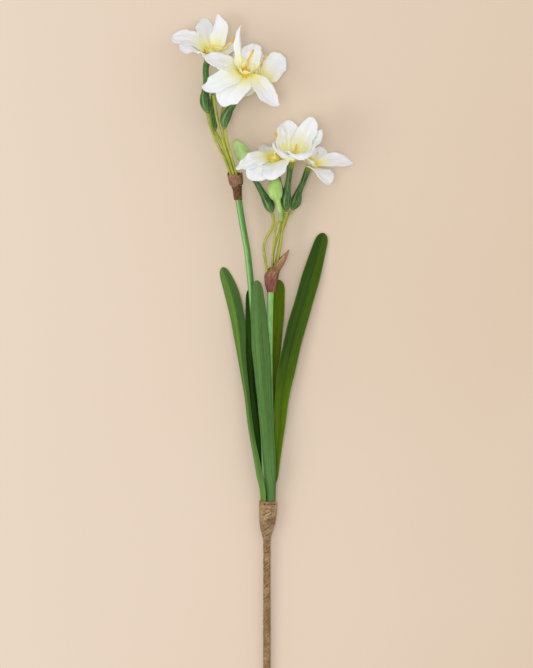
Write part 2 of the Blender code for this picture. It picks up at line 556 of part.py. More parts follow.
# -------------------------------------------------------------------- flowers
FLOWERS = {
    "upper_left": dict(
        axis=(0.28, 0.80, 0.52), cup=(4.3, 5.6, 4.5),
        tube=[(-50.4, 525.0, 23.5), (-52.8, 536.0, 22.8), (-51.7, 551.0, 20.6),
              (-51.8, 565.0, 18.6), (-48.7, 575.3, 21.5)],
        style=[(-41.5, 580.6, 29.5), (-35.8, 579.8, 32.0), (-31.8, 583.4, 33.4), (-27.6, 589.2, 33.8)],
        outer=[dict(phi=115, tip=(-52.2, 607.2, 0.2), mid=(-52.3, 592.0), width=17.6, rise=50, cup=22, curl=0.1),
               dict(phi=228, tip=(-69.0, 573.8, 44.0), mid=(-61.6, 578.3, 34.0), width=19, rise=24, cup=16, curl=-0.2),
               dict(phi=344, tip=(-21.0, 583.6, 25.0), mid=(-35.0, 577.0, 23.0), width=16, rise=20, cup=20)],
        inner=[dict(phi=58, tip=(-42.8, 610.2, 8.0), mid=(-38.6, 593.0), width=18, rise=66, cup=14, left=38, curl=0.1),
               dict(phi=172, tip=(-80.8, 590.3, 17.0), mid=(-65.7, 588.0), width=16.8, rise=60, cup=14, roll=-21, curl=-0.1),
               dict(phi=286, tip=(-44.6, 563.5, 44.0), width=18, rise=42, cup=12, curl=-0.6)]),
    "upper_front": dict(
        axis=(0.20, 0.80, 0.56), cup=(4.3, 6.0, 6.0),
        tube=[(-35.5, 511.4, 31.0), (-35.7, 518.4, 31.8), (-32.1, 526.6, 33.4),
              (-27.4, 534.0, 35.2), (-19.4, 557.2, 41.0)],
        style=[(-16.9, 566.4, 51.0), (-15.6, 569.5, 54.0), (-13.2, 573.6, 57.0), (-11.4, 577.6, 59.0)],
        outer=[dict(phi=163, tip=(-51.2, 569.2, 50.0), mid=(-38.6, 567.8, 43.6), width=17, rise=34, cup=16, curl=-0.1),
               dict(phi=272, tip=(-34.0, 529.6, 55.0), mid=(-28.6, 543.4), width=23, rise=24, cup=12, curl=-0.4),
               dict(phi=52, tip=(-11.0, 584.0, 26.0), mid=(-13.7, 573.0), width=19.5, rise=57, cup=20)],
        inner=[dict(phi=218, tip=(-54.0, 548.0, 57.0), mid=(-38.4, 551.0, 56.6), width=18, rise=58, cup=14, curl=-0.2),
               dict(phi=328, tip=(10.8, 531.6, 47.0), mid=(-2.4, 544.4), width=18, rise=34, cup=10, left=8, right=10, curl=-0.25),
               dict(phi=108, tip=(-22.0, 599.8, 42.0), mid=(-23.0, 580.6), width=14.5, rise=64, cup=4, left=-64, right=-64)]),
    "upper_right": dict(
        axis=(0.55, 0.45, 0.70), cup=(4.3, 5.4, 4.2),
        tube=[(-34.0, 535.5, 10.2), (-30.6, 538.8, 10.6), (-24.0, 543.0, 12.0),
              (-16.0, 548.0, 14.4), (-8.3, 553.5, 19.0)],
        style=[(-4.9, 560.0, 27.0), (-4.6, 565.2, 30.0), (-2.8, 569.8, 31.5), (0.3, 574.2, 32.5)],
        outer=[dict(phi=84, tip=(-9.6, 581.0, 1.6), width=16, rise=24, cup=16),
               dict(phi=196, tip=(-33.0, 553.5, 6.0), mid=(-22.0, 556.0, 14.0), width=15, rise=10, cup=14, curl=-0.2),
               dict(phi=318, tip=(4.4, 536.4, 7.0), width=14, rise=14, cup=14, curl=-0.2)],
        inner=[dict(phi=30, tip=(16.4, 570.2, 13.0), mid=(4.8, 563.8), width=20, rise=42, cup=12, left=4, right=8),
               dict(phi=142, tip=(-27.0, 577.0, 11.0), mid=(-19.2, 567.6), width=15, rise=44, cup=16),
               dict(phi=252, tip=(-29.6, 538.4, 20.0), mid=(-17.4, 546.4, 28.5), width=14, rise=40, cup=16, curl=-0.2)]),
    "lower_left": dict(
        axis=(-0.05, 0.80, 0.60), cup=(4.3, 5.4, 4.0),
        tube=[(13.8, 448.4, 15.0), (11.8, 456.0, 15.4), (9.4, 468.0, 18.4), (7.0, 485.0, 27.0)],
        style=[(7.4, 491.5, 33.0), (8.2, 497.0, 34.0), (8.0, 503.4, 34.0), (7.2, 509.7, 33.5)],
        outer=[dict(phi=120, tip=(-1.0, 499.4, 1.4), width=17, rise=30, cup=14),
               dict(phi=236, tip=(-7.6, 466.8, 46.0), mid=(-3.6, 477.6, 39.0), width=19, rise=27, cup=8, curl=-0.5),
               dict(phi=16, tip=(22.0, 500.4, 11.0), width=14, rise=22, cup=14)],
        inner=[dict(phi=178, tip=(-26.4, 477.6, 36.0), mid=(-11.4, 484.4), width=17.5, rise=46, cup=10, curl=-0.3),
               dict(phi=295, tip=(4.4, 467.2, 55.0), mid=(7.4, 478.0, 47.5), width=18, rise=46, cup=8, curl=-0.5),
               dict(phi=62, tip=(14.8, 504.5, 8.0), width=14, rise=38, cup=16)]),
    "lower_centre": dict(
        axis=(0.08, 0.86, 0.50), cup=(4.3, 5.0, 3.2),
        tube=[(16.9, 440.8, 25.0), (16.3, 449.0, 26.0), (17.3, 460.0, 28.2), (20.6, 485.2, 36.0)],
        style=[(22.6, 491.0, 41.0), (24.0, 493.0, 43.0), (25.0, 495.4, 45.0), (25.1, 497.8, 47.0)],
        outer=[dict(phi=104, tip=(18.4, 519.4, 22.0), mid=(18.6, 502.6), width=20, rise=53, cup=22),
               dict(phi=228, tip=(12.0, 486.2, 60.0), mid=(12.2, 491.0), width=16.4, rise=42, cup=32, curl=-0.8),
               dict(phi=348, tip=(47.0, 510.4, 41.0), mid=(38.4, 496.6), width=19.6, rise=44, cup=28, roll=24)],
        inner=[dict(phi=46, tip=(38.0, 521.8, 33.0), mid=(33.4, 505.6), width=19, rise=66, cup=22),
               dict(phi=164, tip=(12.6, 514.6, 46.0), mid=(11.0, 500.6), width=16, rise=70, cup=24, roll=-10),
               dict(phi=288, tip=(28.0, 484.2, 62.0), mid=(27.4, 489.2), width=18.2, rise=52, cup=34, curl=-0.8)]),
    "lower_right": dict(
        axis=(0.45, 0.70, 0.55), cup=(4.3, 5.2, 3.2),
        tube=[(21.0, 442.4, 17.0), (24.2, 449.0, 16.8), (26.4, 456.4, 16.2),
              (30.2, 465.0, 15.8), (37.8, 481.6, 19.6)],
        style=[(40.8, 486.6, 25.0), (41.9, 488.2, 27.0), (42.9, 489.8, 29.0), (43.7, 491.4, 31.0)],
        outer=[dict(phi=70, tip=(50.0, 495.0, 2.0), width=15, rise=10, cup=14),
               dict(phi=180, tip=(20.6, 491.0, 5.0), mid=(28.4, 488.6, 13.0), width=13, rise=12, cup=14),
               dict(phi=288, tip=(51.8, 463.3, 37.0), mid=(45.8, 474.4), width=21, rise=24, cup=12, left=4, right=4, curl=-0.3)],
        inner=[dict(phi=15, tip=(73.8, 482.5, 0.3), mid=(58.6, 485.0), width=15, rise=36, cup=12, roll=28, left=8, right=8),
               dict(phi=125, tip=(34.5, 503.4, 7.0), width=14, rise=38, cup=16),
               dict(phi=232, tip=(34.0, 486.0, 43.0), width=13, rise=52, cup=24)]),
}
PETAL_THICK = 0.70
OUTER_LIFT, INNER_LIFT, CORONA_LIFT = 0.65, 1.65, 2.60


def build_flower(name, d):
    axis, base = unit(d["axis"]), np.array(d["tube"][-1], float)
    build_tube(name + "_tube", d["tube"], axis)
    v, f = petal_layer(base, axis, OUTER_LIFT, d["outer"])
    add_sheet(name + "_petals_outer", "petal", v, f, PETAL_THICK)
    v, f = petal_layer(base, axis, INNER_LIFT, d["inner"])
    add_sheet(name + "_petals_inner", "petal", v, f, PETAL_THICK)
    floor_r, rim_r, height = d["cup"]
    v, f = corona(base, axis, CORONA_LIFT, floor_r, rim_r, height)
    add_sheet(name + "_corona", "corona", v, f, 0.6)
    # pistil: a peg through the layers, a small disc in the cup, then the style
    foot, disc = base + axis * 0.35, base + axis * 3.25
    path = [foot, base + axis * 3.20, base + axis * 3.25, base + axis * 3.90, base + axis * 4.30]
    radii = [0.85, 0.85, 3.2, 3.3, 1.1]
    pts = spline([base + axis * 4.30, base + axis * 7.0] + list(d["style"]), 8)
    path += list(pts[1:])
    radii += [0.85, 0.80, 0.95, 0.82, 0.90, 1.05, 0.60]
    add_rod(name + "_pistil", "pistil", path, radii, 1)


# ----------------------------------------------------------------------- buds


def build_buds():
    build_tube("lower_bud_tube", [(4.4, 439.8, 21.0), (2.2, 446.5, 20.0), (-4.1, 457.8, 18.2),
                                  (-9.5, 467.2, 17.2), (-15.2, 476.2, 16.4)], None, BUD_TUBE_PROFILE)
    build_tube("upper_bud_tube", [(-44.3, 510.0, 12.9), (-46.0, 519.0, 12.4), (-46.3, 531.0, 12.4),
                                  (-44.6, 543.0, 13.0), (-40.2, 556.8, 15.0)], None, BUD_TUBE_PROFILE)
    closed = [(0.0, 1.70), (0.08, 3.00), (0.20, 4.80), (0.36, 5.95), (0.54, 6.25),
              (0.72, 5.55), (0.86, 4.20), (0.95, 2.70), (1.0, 1.00)]
    for name, pts in (("lower_bud_closed", [(-15.4, 476.6, 16.4), (-20.4, 489.0, 15.6), (-27.4, 502.6, 15.2)]),
                      ("upper_bud_closed", [(-40.0, 557.3, 15.0), (-37.0, 566.0, 16.4), (-34.2, 575.4, 17.8)])):
        size = 1.0 if name.startswith("lower") else 0.82
        path = spline(pts, at=[q[0] for q in closed])
        add_rod(name, "bud", path, [max(q[1] * size, 0.6) for q in closed], 3)
    small = [(0.0, 1.50), (0.06, 2.20), (0.25, 2.30), (0.40, 2.50), (0.49, 3.80), (0.59, 5.70),
             (0.70, 6.10), (0.83, 5.20), (0.93, 3.10), (1.0, 0.60)]
    for name, pts, size in (
            ("lower_bud_small", [(11.6, 433.1, 29.7), (11.2, 441.0, 30.9), (9.4, 449.6, 31.8),
                                 (6.9, 460.0, 32.8), (9.2, 471.0, 33.6)], 1.0),
            ("upper_bud_small", [(-45.3, 541.1, 30.9), (-45.0, 544.5, 31.4), (-43.6, 551.0, 32.4),
                                 (-42.2, 558.6, 33.4)], 0.8)):
        path = spline(pts, at=[q[0] for q in small])
        add_rod(name, "bud", path, [max(q[1] * size, 0.5) for q in small], 2)


build_handle()
build_scapes()
build_leaves()
build_spathes()
build_pedicels()
for flower_name, flower in FLOWERS.items():
    build_flower(flower_name, flower)
build_buds()
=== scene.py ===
"""Looks for the faux daffodil spray: finer meshes and procedural finishes for
every piece, a pale floor, soft studio light and a camera that looks down on it."""

import bpy
import math
import numpy as np
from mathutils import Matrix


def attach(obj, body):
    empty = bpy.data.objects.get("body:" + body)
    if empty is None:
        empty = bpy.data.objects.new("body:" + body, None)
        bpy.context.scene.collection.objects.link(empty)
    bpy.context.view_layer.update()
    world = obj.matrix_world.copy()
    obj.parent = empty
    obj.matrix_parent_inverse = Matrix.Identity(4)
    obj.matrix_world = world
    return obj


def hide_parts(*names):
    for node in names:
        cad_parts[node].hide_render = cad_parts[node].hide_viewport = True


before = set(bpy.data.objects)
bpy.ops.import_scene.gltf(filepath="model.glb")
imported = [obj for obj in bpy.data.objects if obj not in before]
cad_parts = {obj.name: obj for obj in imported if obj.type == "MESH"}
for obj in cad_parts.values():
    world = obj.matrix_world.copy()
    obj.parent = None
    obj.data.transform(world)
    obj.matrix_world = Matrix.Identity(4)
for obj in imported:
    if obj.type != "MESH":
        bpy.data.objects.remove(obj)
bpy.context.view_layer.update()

MM = 0.001
BOX_CENTRE = (-3.445, 305.095)     # centre of the spray's plan outline, X and Y
GAP = 0.30                        # clearance between neighbouring pieces

# handle, its tape and the flared collar
CORE_RADIUS = 2.05
TAPE_OUTER = 3.15
TAPE_WALL = 0.70
HANDLE_END_Z = 3.15               # axis height at the cut end
COLLAR_Z = 8.0                    # axis height at the collar's rim
COLLAR_FOOT, COLLAR_RIM = 159.0, 194.3
COLLAR_WALL = 0.60
COLLAR_PROFILE = [                # Y, axis X, outer radius
    (159.0, 0.00, 3.10), (161.5, 0.10, 3.25), (167.0, -0.10, 4.50),
    (172.0, 0.10, 5.90), (177.0, 0.40, 6.90), (186.0, 1.00, 7.60),
    (194.3, 1.05, 7.65)]
LEAF_CLASP = 6.20                 # radius of the leaf feet inside the collar
LEAF_THICK = 0.80

# two main stems
SCAPE_TALL_R = 2.75
SCAPE_TALL = [(-1.9, 177.5, 7.8), (-2.0, 196.0, 8.1), (-1.9, 235.0, 10.4),
              (-3.3, 260.0, 12.0), (-5.4, 281.0, 13.4), (-10.5, 340.5, 17.2), (-14.0, 384.3, 20.0),
              (-16.7, 408.5, 21.5), (-20.5, 429.8, 22.8), (-24.9, 457.0, 24.0)]
SCAPE_SHORT_R = 2.70
SCAPE_SHORT = [(3.9, 177.5, 7.8), (3.8, 196.0, 8.1), (4.0, 235.0, 10.4), (3.2, 264.0, 12.2),
               (2.2, 330.0, 16.6), (3.4, 380.0, 19.8)]

PEDICEL_R = 1.05

# ------------------------------------------------------------------- numerics


def smoothstep(x):
    x = np.clip(x, 0.0, 1.0)
    return x * x * (3.0 - 2.0 * x)


def unit(v):
    v = np.asarray(v, float)
    return v / np.linalg.norm(v)


def handle_z(y):
    return HANDLE_END_Z + (COLLAR_Z - HANDLE_END_Z) * y / COLLAR_RIM


def spline(points, count=None, at=None):
    """Smooth curve through points; samples evenly spaced along its length."""
    p = np.asarray(points, float)
    k = np.concatenate([[0.0], np.cumsum(np.linalg.norm(np.diff(p[:, :3], axis=0), axis=1))])
    m = np.zeros_like(p)
    for i in range(1, len(p) - 1):
        h0, h1 = k[i] - k[i - 1], k[i + 1] - k[i]
        m[i] = ((p[i] - p[i - 1]) / h0 * h1 + (p[i + 1] - p[i]) / h1 * h0) / (h0 + h1)
    m[0] = 1.5 * (p[1] - p[0]) / (k[1] - k[0]) - 0.5 * m[1] if len(p) > 2 else p[1] - p[0]
    m[-1] = 1.5 * (p[-1] - p[-2]) / (k[-1] - k[-2]) - 0.5 * m[-2] if len(p) > 2 else p[-1] - p[-2]
    if len(p) == 2:
        m /= (k[1] - k[0])
    dense = np.linspace(0.0, k[-1], 600)
    i = np.clip(np.searchsorted(k, dense, side="right") - 1, 0, len(p) - 2)
    h = (k[i + 1] - k[i])[:, None]
    u = ((dense - k[i])[:, None]) / h
    out = ((2 * u**3 - 3 * u**2 + 1) * p[i] + (u**3 - 2 * u**2 + u) * h * m[i]
           + (-2 * u**3 + 3 * u**2) * p[i + 1] + (u**3 - u**2) * h * m[i + 1])
    arc = np.concatenate([[0.0], np.cumsum(np.linalg.norm(np.diff(out[:, :3], axis=0), axis=1))])
    want = (np.linspace(0.0, 1.0, count) if at is None else np.asarray(at)) * arc[-1]
    return np.stack([np.interp(want, arc, out[:, c]) for c in range(out.shape[1])], axis=1)


def tangents(path):
    t = np.gradient(path, axis=0)
    return t / np.linalg.norm(t, axis=1)[:, None]


def transport(tan, start):
    """Normals carried along a path without twist."""
    n = [unit(start - tan[0] * np.dot(start, tan[0]))]
    for i in range(1, len(tan)):
        v = n[-1] - tan[i] * np.dot(n[-1], tan[i])
        n.append(unit(v))
    return np.array(n)


def to_world(points):
    p = np.asarray(points, float).copy()
    p[:, 0] -= BOX_CENTRE[0]
    p[:, 1] -= BOX_CENTRE[1]
    return p * MM


def waves(seed, x, y, count=6, low=1.0, high=4.0):
    """Smooth seeded unevenness in about -1..1 over two coordinates."""
    rng = np.random.default_rng(seed)
    out = np.zeros(np.broadcast(x, y).shape)
    for _ in range(count):
        f = rng.uniform(low, high)
        a = rng.uniform(0, 2 * math.pi)
        out += np.sin(2 * math.pi * f * (x * math.cos(a) + y * math.sin(a))
                      + rng.uniform(0, 2 * math.pi)) / count * 1.5
    return out


# ------------------------------------------------------------- node materials


class Nodes:
    """Short hand for building a Principled material out of nodes."""

    def __init__(self, name, rough=0.5, **sockets):
        self.mat = bpy.data.materials.new(name)
        self.mat.use_nodes = True
        self.tree = self.mat.node_tree
        self.bsdf = self.tree.nodes["Principled BSDF"]
        self.bsdf.inputs["Roughness"].default_value = rough
        for key, value in sockets.items():
            self.bsdf.inputs[key.replace("_", " ")].default_value = value
        self.x = -1800

    def add(self, kind, **props):
        n = self.tree.nodes.new(kind)
        n.location = (self.x, 0)
        self.x += 60
        for k, v in props.items():
            setattr(n, k, v)
        return n

    def link(self, a, b):
        self.tree.links.new(a, b)

    def put(self, node, key, value):
        if isinstance(value, bpy.types.NodeSocket):
            self.link(value, node.inputs[key])
        else:
            node.inputs[key].default_value = value

    def uv(self):
        n = self.add("ShaderNodeUVMap")
        n.uv_map = "shape"
        s = self.add("ShaderNodeSeparateXYZ")
        self.link(n.outputs["UV"], s.inputs[0])
        return s.outputs["X"], s.outputs["Y"]

    # a second map made with the mesh: dark marks in X, pale in Y, holding painted shade, painted highlights, dark seams
    # and tone
    def wear(self):
        n = self.add("ShaderNodeUVMap")
        n.uv_map = "wear"
        s = self.add("ShaderNodeSeparateXYZ")
        self.link(n.outputs["UV"], s.inputs[0])
        return s.outputs["X"], s.outputs["Y"]

    def position(self):
        return self.add("ShaderNodeTexCoord").outputs["Object"]

    def combine(self, x, y, z=0.0):
        n = self.add("ShaderNodeCombineXYZ")
        for k, v in zip(("X", "Y", "Z"), (x, y, z)):
            self.put(n, k, v)
        return n.outputs[0]

    def math(self, op, a, b=0.0, c=0.0, clamp=False):
        n = self.add("ShaderNodeMath", operation=op, use_clamp=clamp)
        for i, v in enumerate((a, b, c)):
            self.put(n, i, v)
        return n.outputs[0]

    def ramp(self, value, stops, interp="EASE"):
        """Map a value through (position, grey or colour) stops."""
        n = self.add("ShaderNodeValToRGB")
        n.color_ramp.interpolation = interp
        el = n.color_ramp.elements
        while len(el) < len(stops):
            el.new(0.5)
        for e, (at, col) in zip(el, sorted(stops, key=lambda q: q[0])):
            e.position = at
            e.color = (col, col, col, 1) if isinstance(col, (int, float)) else (*col, 1)
        self.put(n, "Fac", value)
        return n.outputs["Color"]

    def noise(self, vector, scale, detail=3.0, rough=0.5, distort=0.0):
        n = self.add("ShaderNodeTexNoise")
        self.put(n, "Vector", vector)
        self.put(n, "Scale", scale)
        self.put(n, "Detail", detail)
        self.put(n, "Roughness", rough)
        self.put(n, "Distortion", distort)
        return n.outputs["Fac"]

    def voronoi(self, vector, scale, feature="F1"):
        n = self.add("ShaderNodeTexVoronoi", feature=feature)
        self.put(n, "Vector", vector)
        self.put(n, "Scale", scale)
        return n.outputs["Distance"]

    def mix(self, fac, a, b, blend="MIX"):
        n = self.add("ShaderNodeMix", data_type="RGBA", blend_type=blend)
        self.put(n, 0, fac)
        for key, v in ((6, a), (7, b)):
            if isinstance(v, (tuple, list)):
                v = (*v, 1.0) if len(v) == 3 else v
            self.put(n, key, v)
        return n.outputs[2]

    def bump(self, height, strength=0.3, distance=0.0004, chain=None):
        n = self.add("ShaderNodeBump")
        self.put(n, "Strength", strength)
        self.put(n, "Distance", distance)
        self.put(n, "Height", height)
        if chain is not None:
            self.link(chain, n.inputs["Normal"])
        return n.outputs[0]

    def done(self, colour=None, normal=None, rough=None):
        if colour is not None:
            self.put(self.bsdf, "Base Color", colour)
        if normal is not None:
            self.link(normal, self.bsdf.inputs["Normal"])
        if rough is not None:
            self.link(rough, self.bsdf.inputs["Roughness"])
        return self.mat


def srgb(r, g, b):
    """8-bit display colour to linear."""
    out = []
    for c in (r, g, b):
        c /= 255.0
        out.append(c / 12.92 if c <= 0.04045 else ((c + 0.055) / 1.055) ** 2.4)
    return tuple(out)


def petal_finish(name, throat=1.0, tint=1.0, seed=0.0):
    """White cloth: lemon throat that fades outwards, pressed veins, fine weave."""
    m = Nodes(name, rough=0.72, Subsurface_Weight=0.18, Subsurface_Scale=0.004, Subsurface_Radius=(1.0, 1.0, 1.0),
              Sheen_Weight=0.08, Sheen_Roughness=0.6, Specular_IOR_Level=0.20)
    u, v = m.uv()
    pos = m.position()
    fibre = m.noise(m.combine(m.math("MULTIPLY", u, 22.0), m.math("MULTIPLY", v, 1.7), seed), 1.0, 2.0, 0.55)
    patch = m.noise(pos, 90.0, 2.0)
    across = m.math("ABSOLUTE", m.math("SUBTRACT", u, 0.5))
    reach = m.math("ADD", m.math("ADD", v, m.math("MULTIPLY", m.math("SUBTRACT", fibre, 0.5), 0.42)),
                   m.math("MULTIPLY", across, 0.26))
    reach = m.math("ADD", reach, m.math("MULTIPLY", m.math("SUBTRACT", patch, 0.5), 0.16))
    yellow = m.ramp(m.math("DIVIDE", reach, throat), [(0.06, 1.0), (0.22, 0.76), (0.42, 0.22), (0.68, 0.0)])
    white = m.mix(m.ramp(fibre, [(0.32, 0.0), (0.62, 1.0)]), srgb(242, 247, 251), srgb(252, 254, 255))
    white = m.mix(m.ramp(patch, [(0.3, 1.0), (0.6, 0.0)]), white, srgb(242, 246, 251))
    deep = m.mix(m.ramp(v, [(0.0, 1.0), (0.2, 0.0)]), srgb(253, 248, 160), srgb(249, 232, 84))
    green = m.mix(m.ramp(patch, [(0.45, 0.0), (0.7, 0.40)]), deep, srgb(244, 246, 164))
    colour = m.mix(m.math("MULTIPLY", yellow, tint), white, green)
    veins = m.ramp(fibre, [(0.36, 0.0), (0.5, 0.7), (0.64, 1.0)])
    n1 = m.bump(veins, 0.30, 0.00028)
    weave = m.noise(pos, 2600.0, 2.0, 0.7)
    n2 = m.bump(weave, 0.10, 0.00008, n1)
    return m.done(colour, n2)


def corona_finish(name, rim):
    """Yellow cloth that pales towards the rim by the given amount."""
    m = Nodes(name, rough=0.65, Subsurface_Weight=0.30, Subsurface_Scale=0.004, Subsurface_Radius=(1.0, 0.95, 0.7),
              Specular_IOR_Level=0.20)
    u, v = m.uv()
    fibre = m.noise(m.combine(m.math("MULTIPLY", u, 60.0), m.math("MULTIPLY", v, 2.0)), 1.0, 2.0)
    edge = m.math("ADD", v, m.math("MULTIPLY", m.math("SUBTRACT", fibre, 0.5), 0.35))
    full = m.ramp(edge, [(0.0, srgb(250, 222, 84)), (0.35, srgb(250, 240, 134)),
                         (0.68, srgb(252, 248, 190)), (0.98, srgb(254, 253, 238))])
    colour = m.mix(rim, m.mix(fibre, srgb(248, 226, 88), srgb(252, 238, 122)), full)
    n = m.bump(fibre, 0.4, 0.0003)
    return m.done(colour, n)


def pistil_finish(name, pale=(0.0, 0.01, 0.0)):
    m = Nodes(name + "_flock", rough=0.6, Specular_IOR_Level=0.3)
    pos = m.position()
    grain = m.noise(pos, 1500.0, 2.0, 0.7)
    large = m.noise(pos, 260.0, 2.0)
    colour = m.mix(m.ramp(grain, [(0.35, 0.0), (0.65, 1.0)]), srgb(226, 160, 34), srgb(248, 204, 84))
    colour = m.mix(m.ramp(large, [(0.40, 0.0), (0.66, 0.7)]), colour, srgb(250, 218, 124))
    u, v = m.uv()
    foot = m.ramp(v, [(pale[0], 1.0), (pale[1], 0.0)])
    colour = m.mix(m.math("MULTIPLY", foot, pale[2]), colour, srgb(244, 236, 150))
    return m.done(colour, m.bump(grain, 0.6, 0.0003))


def moulded_green(name, dark, mid, light, ribs=10.0, rough=0.42, streak=0.6, mottle=120.0,
                  bands=(), spec=0.30, painted_highlight=None):
    """Moulded plastic in three greens, streaked along its length, with faint ribs and an optional painted highlight: a
    lighter band at a fixed angle around the bar.
    """
    m = Nodes(name, rough=rough, Specular_IOR_Level=spec)
    u, v = m.uv()
    pos = m.position()
    around = m.math("MULTIPLY", u, 2 * math.pi)
    ring = m.combine(m.math("MULTIPLY", m.math("COSINE", around), ribs * 0.32),
                     m.math("MULTIPLY", m.math("SINE", around), ribs * 0.32),
                     m.math("MULTIPLY", v, 2.4))
    fibre = m.noise(ring, 1.0, 3.0, 0.6)
    patch = m.noise(pos, mottle, 3.0, 0.6)
    colour = m.mix(m.ramp(patch, [(0.30, 0.0), (0.70, 1.0)]), dark, mid)
    colour = m.mix(m.math("MULTIPLY", m.ramp(fibre, [(0.42, 0.0), (0.72, 1.0)]), streak), colour, light)
    # painted highlight: a lighter band along the bar on the side that faces the key light
    if painted_highlight is not None:
        d = m.math("ABSOLUTE", m.math("SUBTRACT", u, painted_highlight[0]))
        d = m.math("ADD", d, m.math("MULTIPLY", m.math("SUBTRACT", patch, 0.5), 0.06))
        colour = m.mix(m.math("MULTIPLY", m.ramp(m.math("DIVIDE", d, painted_highlight[1]), [(0.1, 1.0), (1.0, 0.0)]), painted_highlight[3]), colour, painted_highlight[2])
    for at, width, shade, amount in bands:
        d = m.math("DIVIDE", m.math("ABSOLUTE", m.math("SUBTRACT", v, at)), width)
        d = m.math("ADD", d, m.math("MULTIPLY", m.math("SUBTRACT", patch, 0.5), 0.9))
        colour = m.mix(m.math("MULTIPLY", m.ramp(d, [(0.25, 1.0), (1.0, 0.0)]), amount), colour, shade)
    n1 = m.bump(fibre, 0.35, 0.0003)
    n2 = m.bump(m.noise(pos, 1400.0, 2.0, 0.6), 0.12, 0.0001, n1)
    r = m.ramp(patch, [(0.2, rough - 0.06), (0.8, rough + 0.12)])
    return m.done(colour, n2, r)


def leaf_finish(name, left, right, low, veins=34.0, mid_line=0.5, edge=(0.2, 0.3, 0.08), gloss=0.40, groove_shade=0.0, spec=0.15, reach=(0.05, 0.42), rolled_edge_shade=0.0):
    """Strap leaf: a tone for each half of the blade, painted light on one half of the fold and painted shade on the
    other, parallel pressed veins, painted shade along the groove down the middle, painted shade on the rolled margins
    near the foot, a foot tone of its own (lighter on most leaves) and a little mottling."""
    m = Nodes(name, rough=gloss, Specular_IOR_Level=spec)
    u, v = m.uv()
    pos = m.position()
    wander = m.noise(m.combine(m.math("MULTIPLY", u, 3.0), m.math("MULTIPLY", v, 9.0)), 1.0, 2.0)
    uu = m.math("ADD", u, m.math("MULTIPLY", m.math("SUBTRACT", wander, 0.5), 0.05))
    # painted light and shade: each half of the folded blade gets its own green, lighter on the half that faces the
    # light
    side = m.ramp(uu, [(0.40, 0.0), (0.60, 1.0)])
    colour = m.mix(side, left, right)
    foot = m.ramp(m.math("ADD", v, m.math("MULTIPLY", m.math("SUBTRACT", wander, 0.5), 0.2)), [(reach[0], 1.0), (reach[1], 0.0)])
    colour = m.mix(m.math("MULTIPLY", foot, 0.85), colour, low)
    # painted shade: the margins darken near the foot, where the blade rolls over
    if rolled_edge_shade:
        rolled_shade_mask = m.ramp(m.math("ABSOLUTE", m.math("SUBTRACT", u, 0.5)), [(0.16, 0.0), (0.46, 1.0)])
        colour = m.mix(m.math("MULTIPLY", m.math("MULTIPLY", foot, rolled_shade_mask), rolled_edge_shade), colour,
                       m.mix(1.0, colour, (0.34, 0.40, 0.32), "MULTIPLY"))
    lines = m.noise(m.combine(m.math("MULTIPLY", uu, veins), m.math("MULTIPLY", v, 2.2)), 1.0, 2.0, 0.6)
    light = m.mix(1.0, colour, (1.40, 1.36, 1.30), "MULTIPLY")
    dark = m.mix(1.0, colour, (0.62, 0.66, 0.62), "MULTIPLY")
    colour = m.mix(m.ramp(lines, [(0.30, 0.0), (0.50, 0.5), (0.70, 1.0)], "LINEAR"), dark, light)
    patch = m.noise(m.combine(m.math("MULTIPLY", u, 5.0), m.math("MULTIPLY", v, 26.0)), 1.0, 4.0, 0.6)
    colour = m.mix(m.ramp(patch, [(0.46, 0.0), (0.74, 0.42)]), colour, m.mix(1.0, colour, (0.62, 0.66, 0.60), "MULTIPLY"))
    rim = m.ramp(m.math("ABSOLUTE", m.math("SUBTRACT", u, 0.5)), [(0.455, 0.0), (0.492, 1.0)])
    colour = m.mix(m.math("MULTIPLY", rim, 0.55), colour, edge)
    # painted shade: a dark line along the fold down the middle of the blade
    if groove_shade:
        groove_shade_mask = m.ramp(m.math("ABSOLUTE", m.math("SUBTRACT", uu, mid_line)), [(0.0, 1.0), (0.045, 0.0)])
        colour = m.mix(m.math("MULTIPLY", groove_shade_mask, groove_shade), colour, m.mix(1.0, colour, (0.42, 0.46, 0.40), "MULTIPLY"))
    n1 = m.bump(lines, 0.45, 0.0003)
    n2 = m.bump(m.noise(pos, 900.0, 2.0, 0.6), 0.10, 0.0001, n1)
    r = m.ramp(patch, [(0.25, gloss - 0.05), (0.8, gloss + 0.14)])
    return m.done(colour, n2, r)


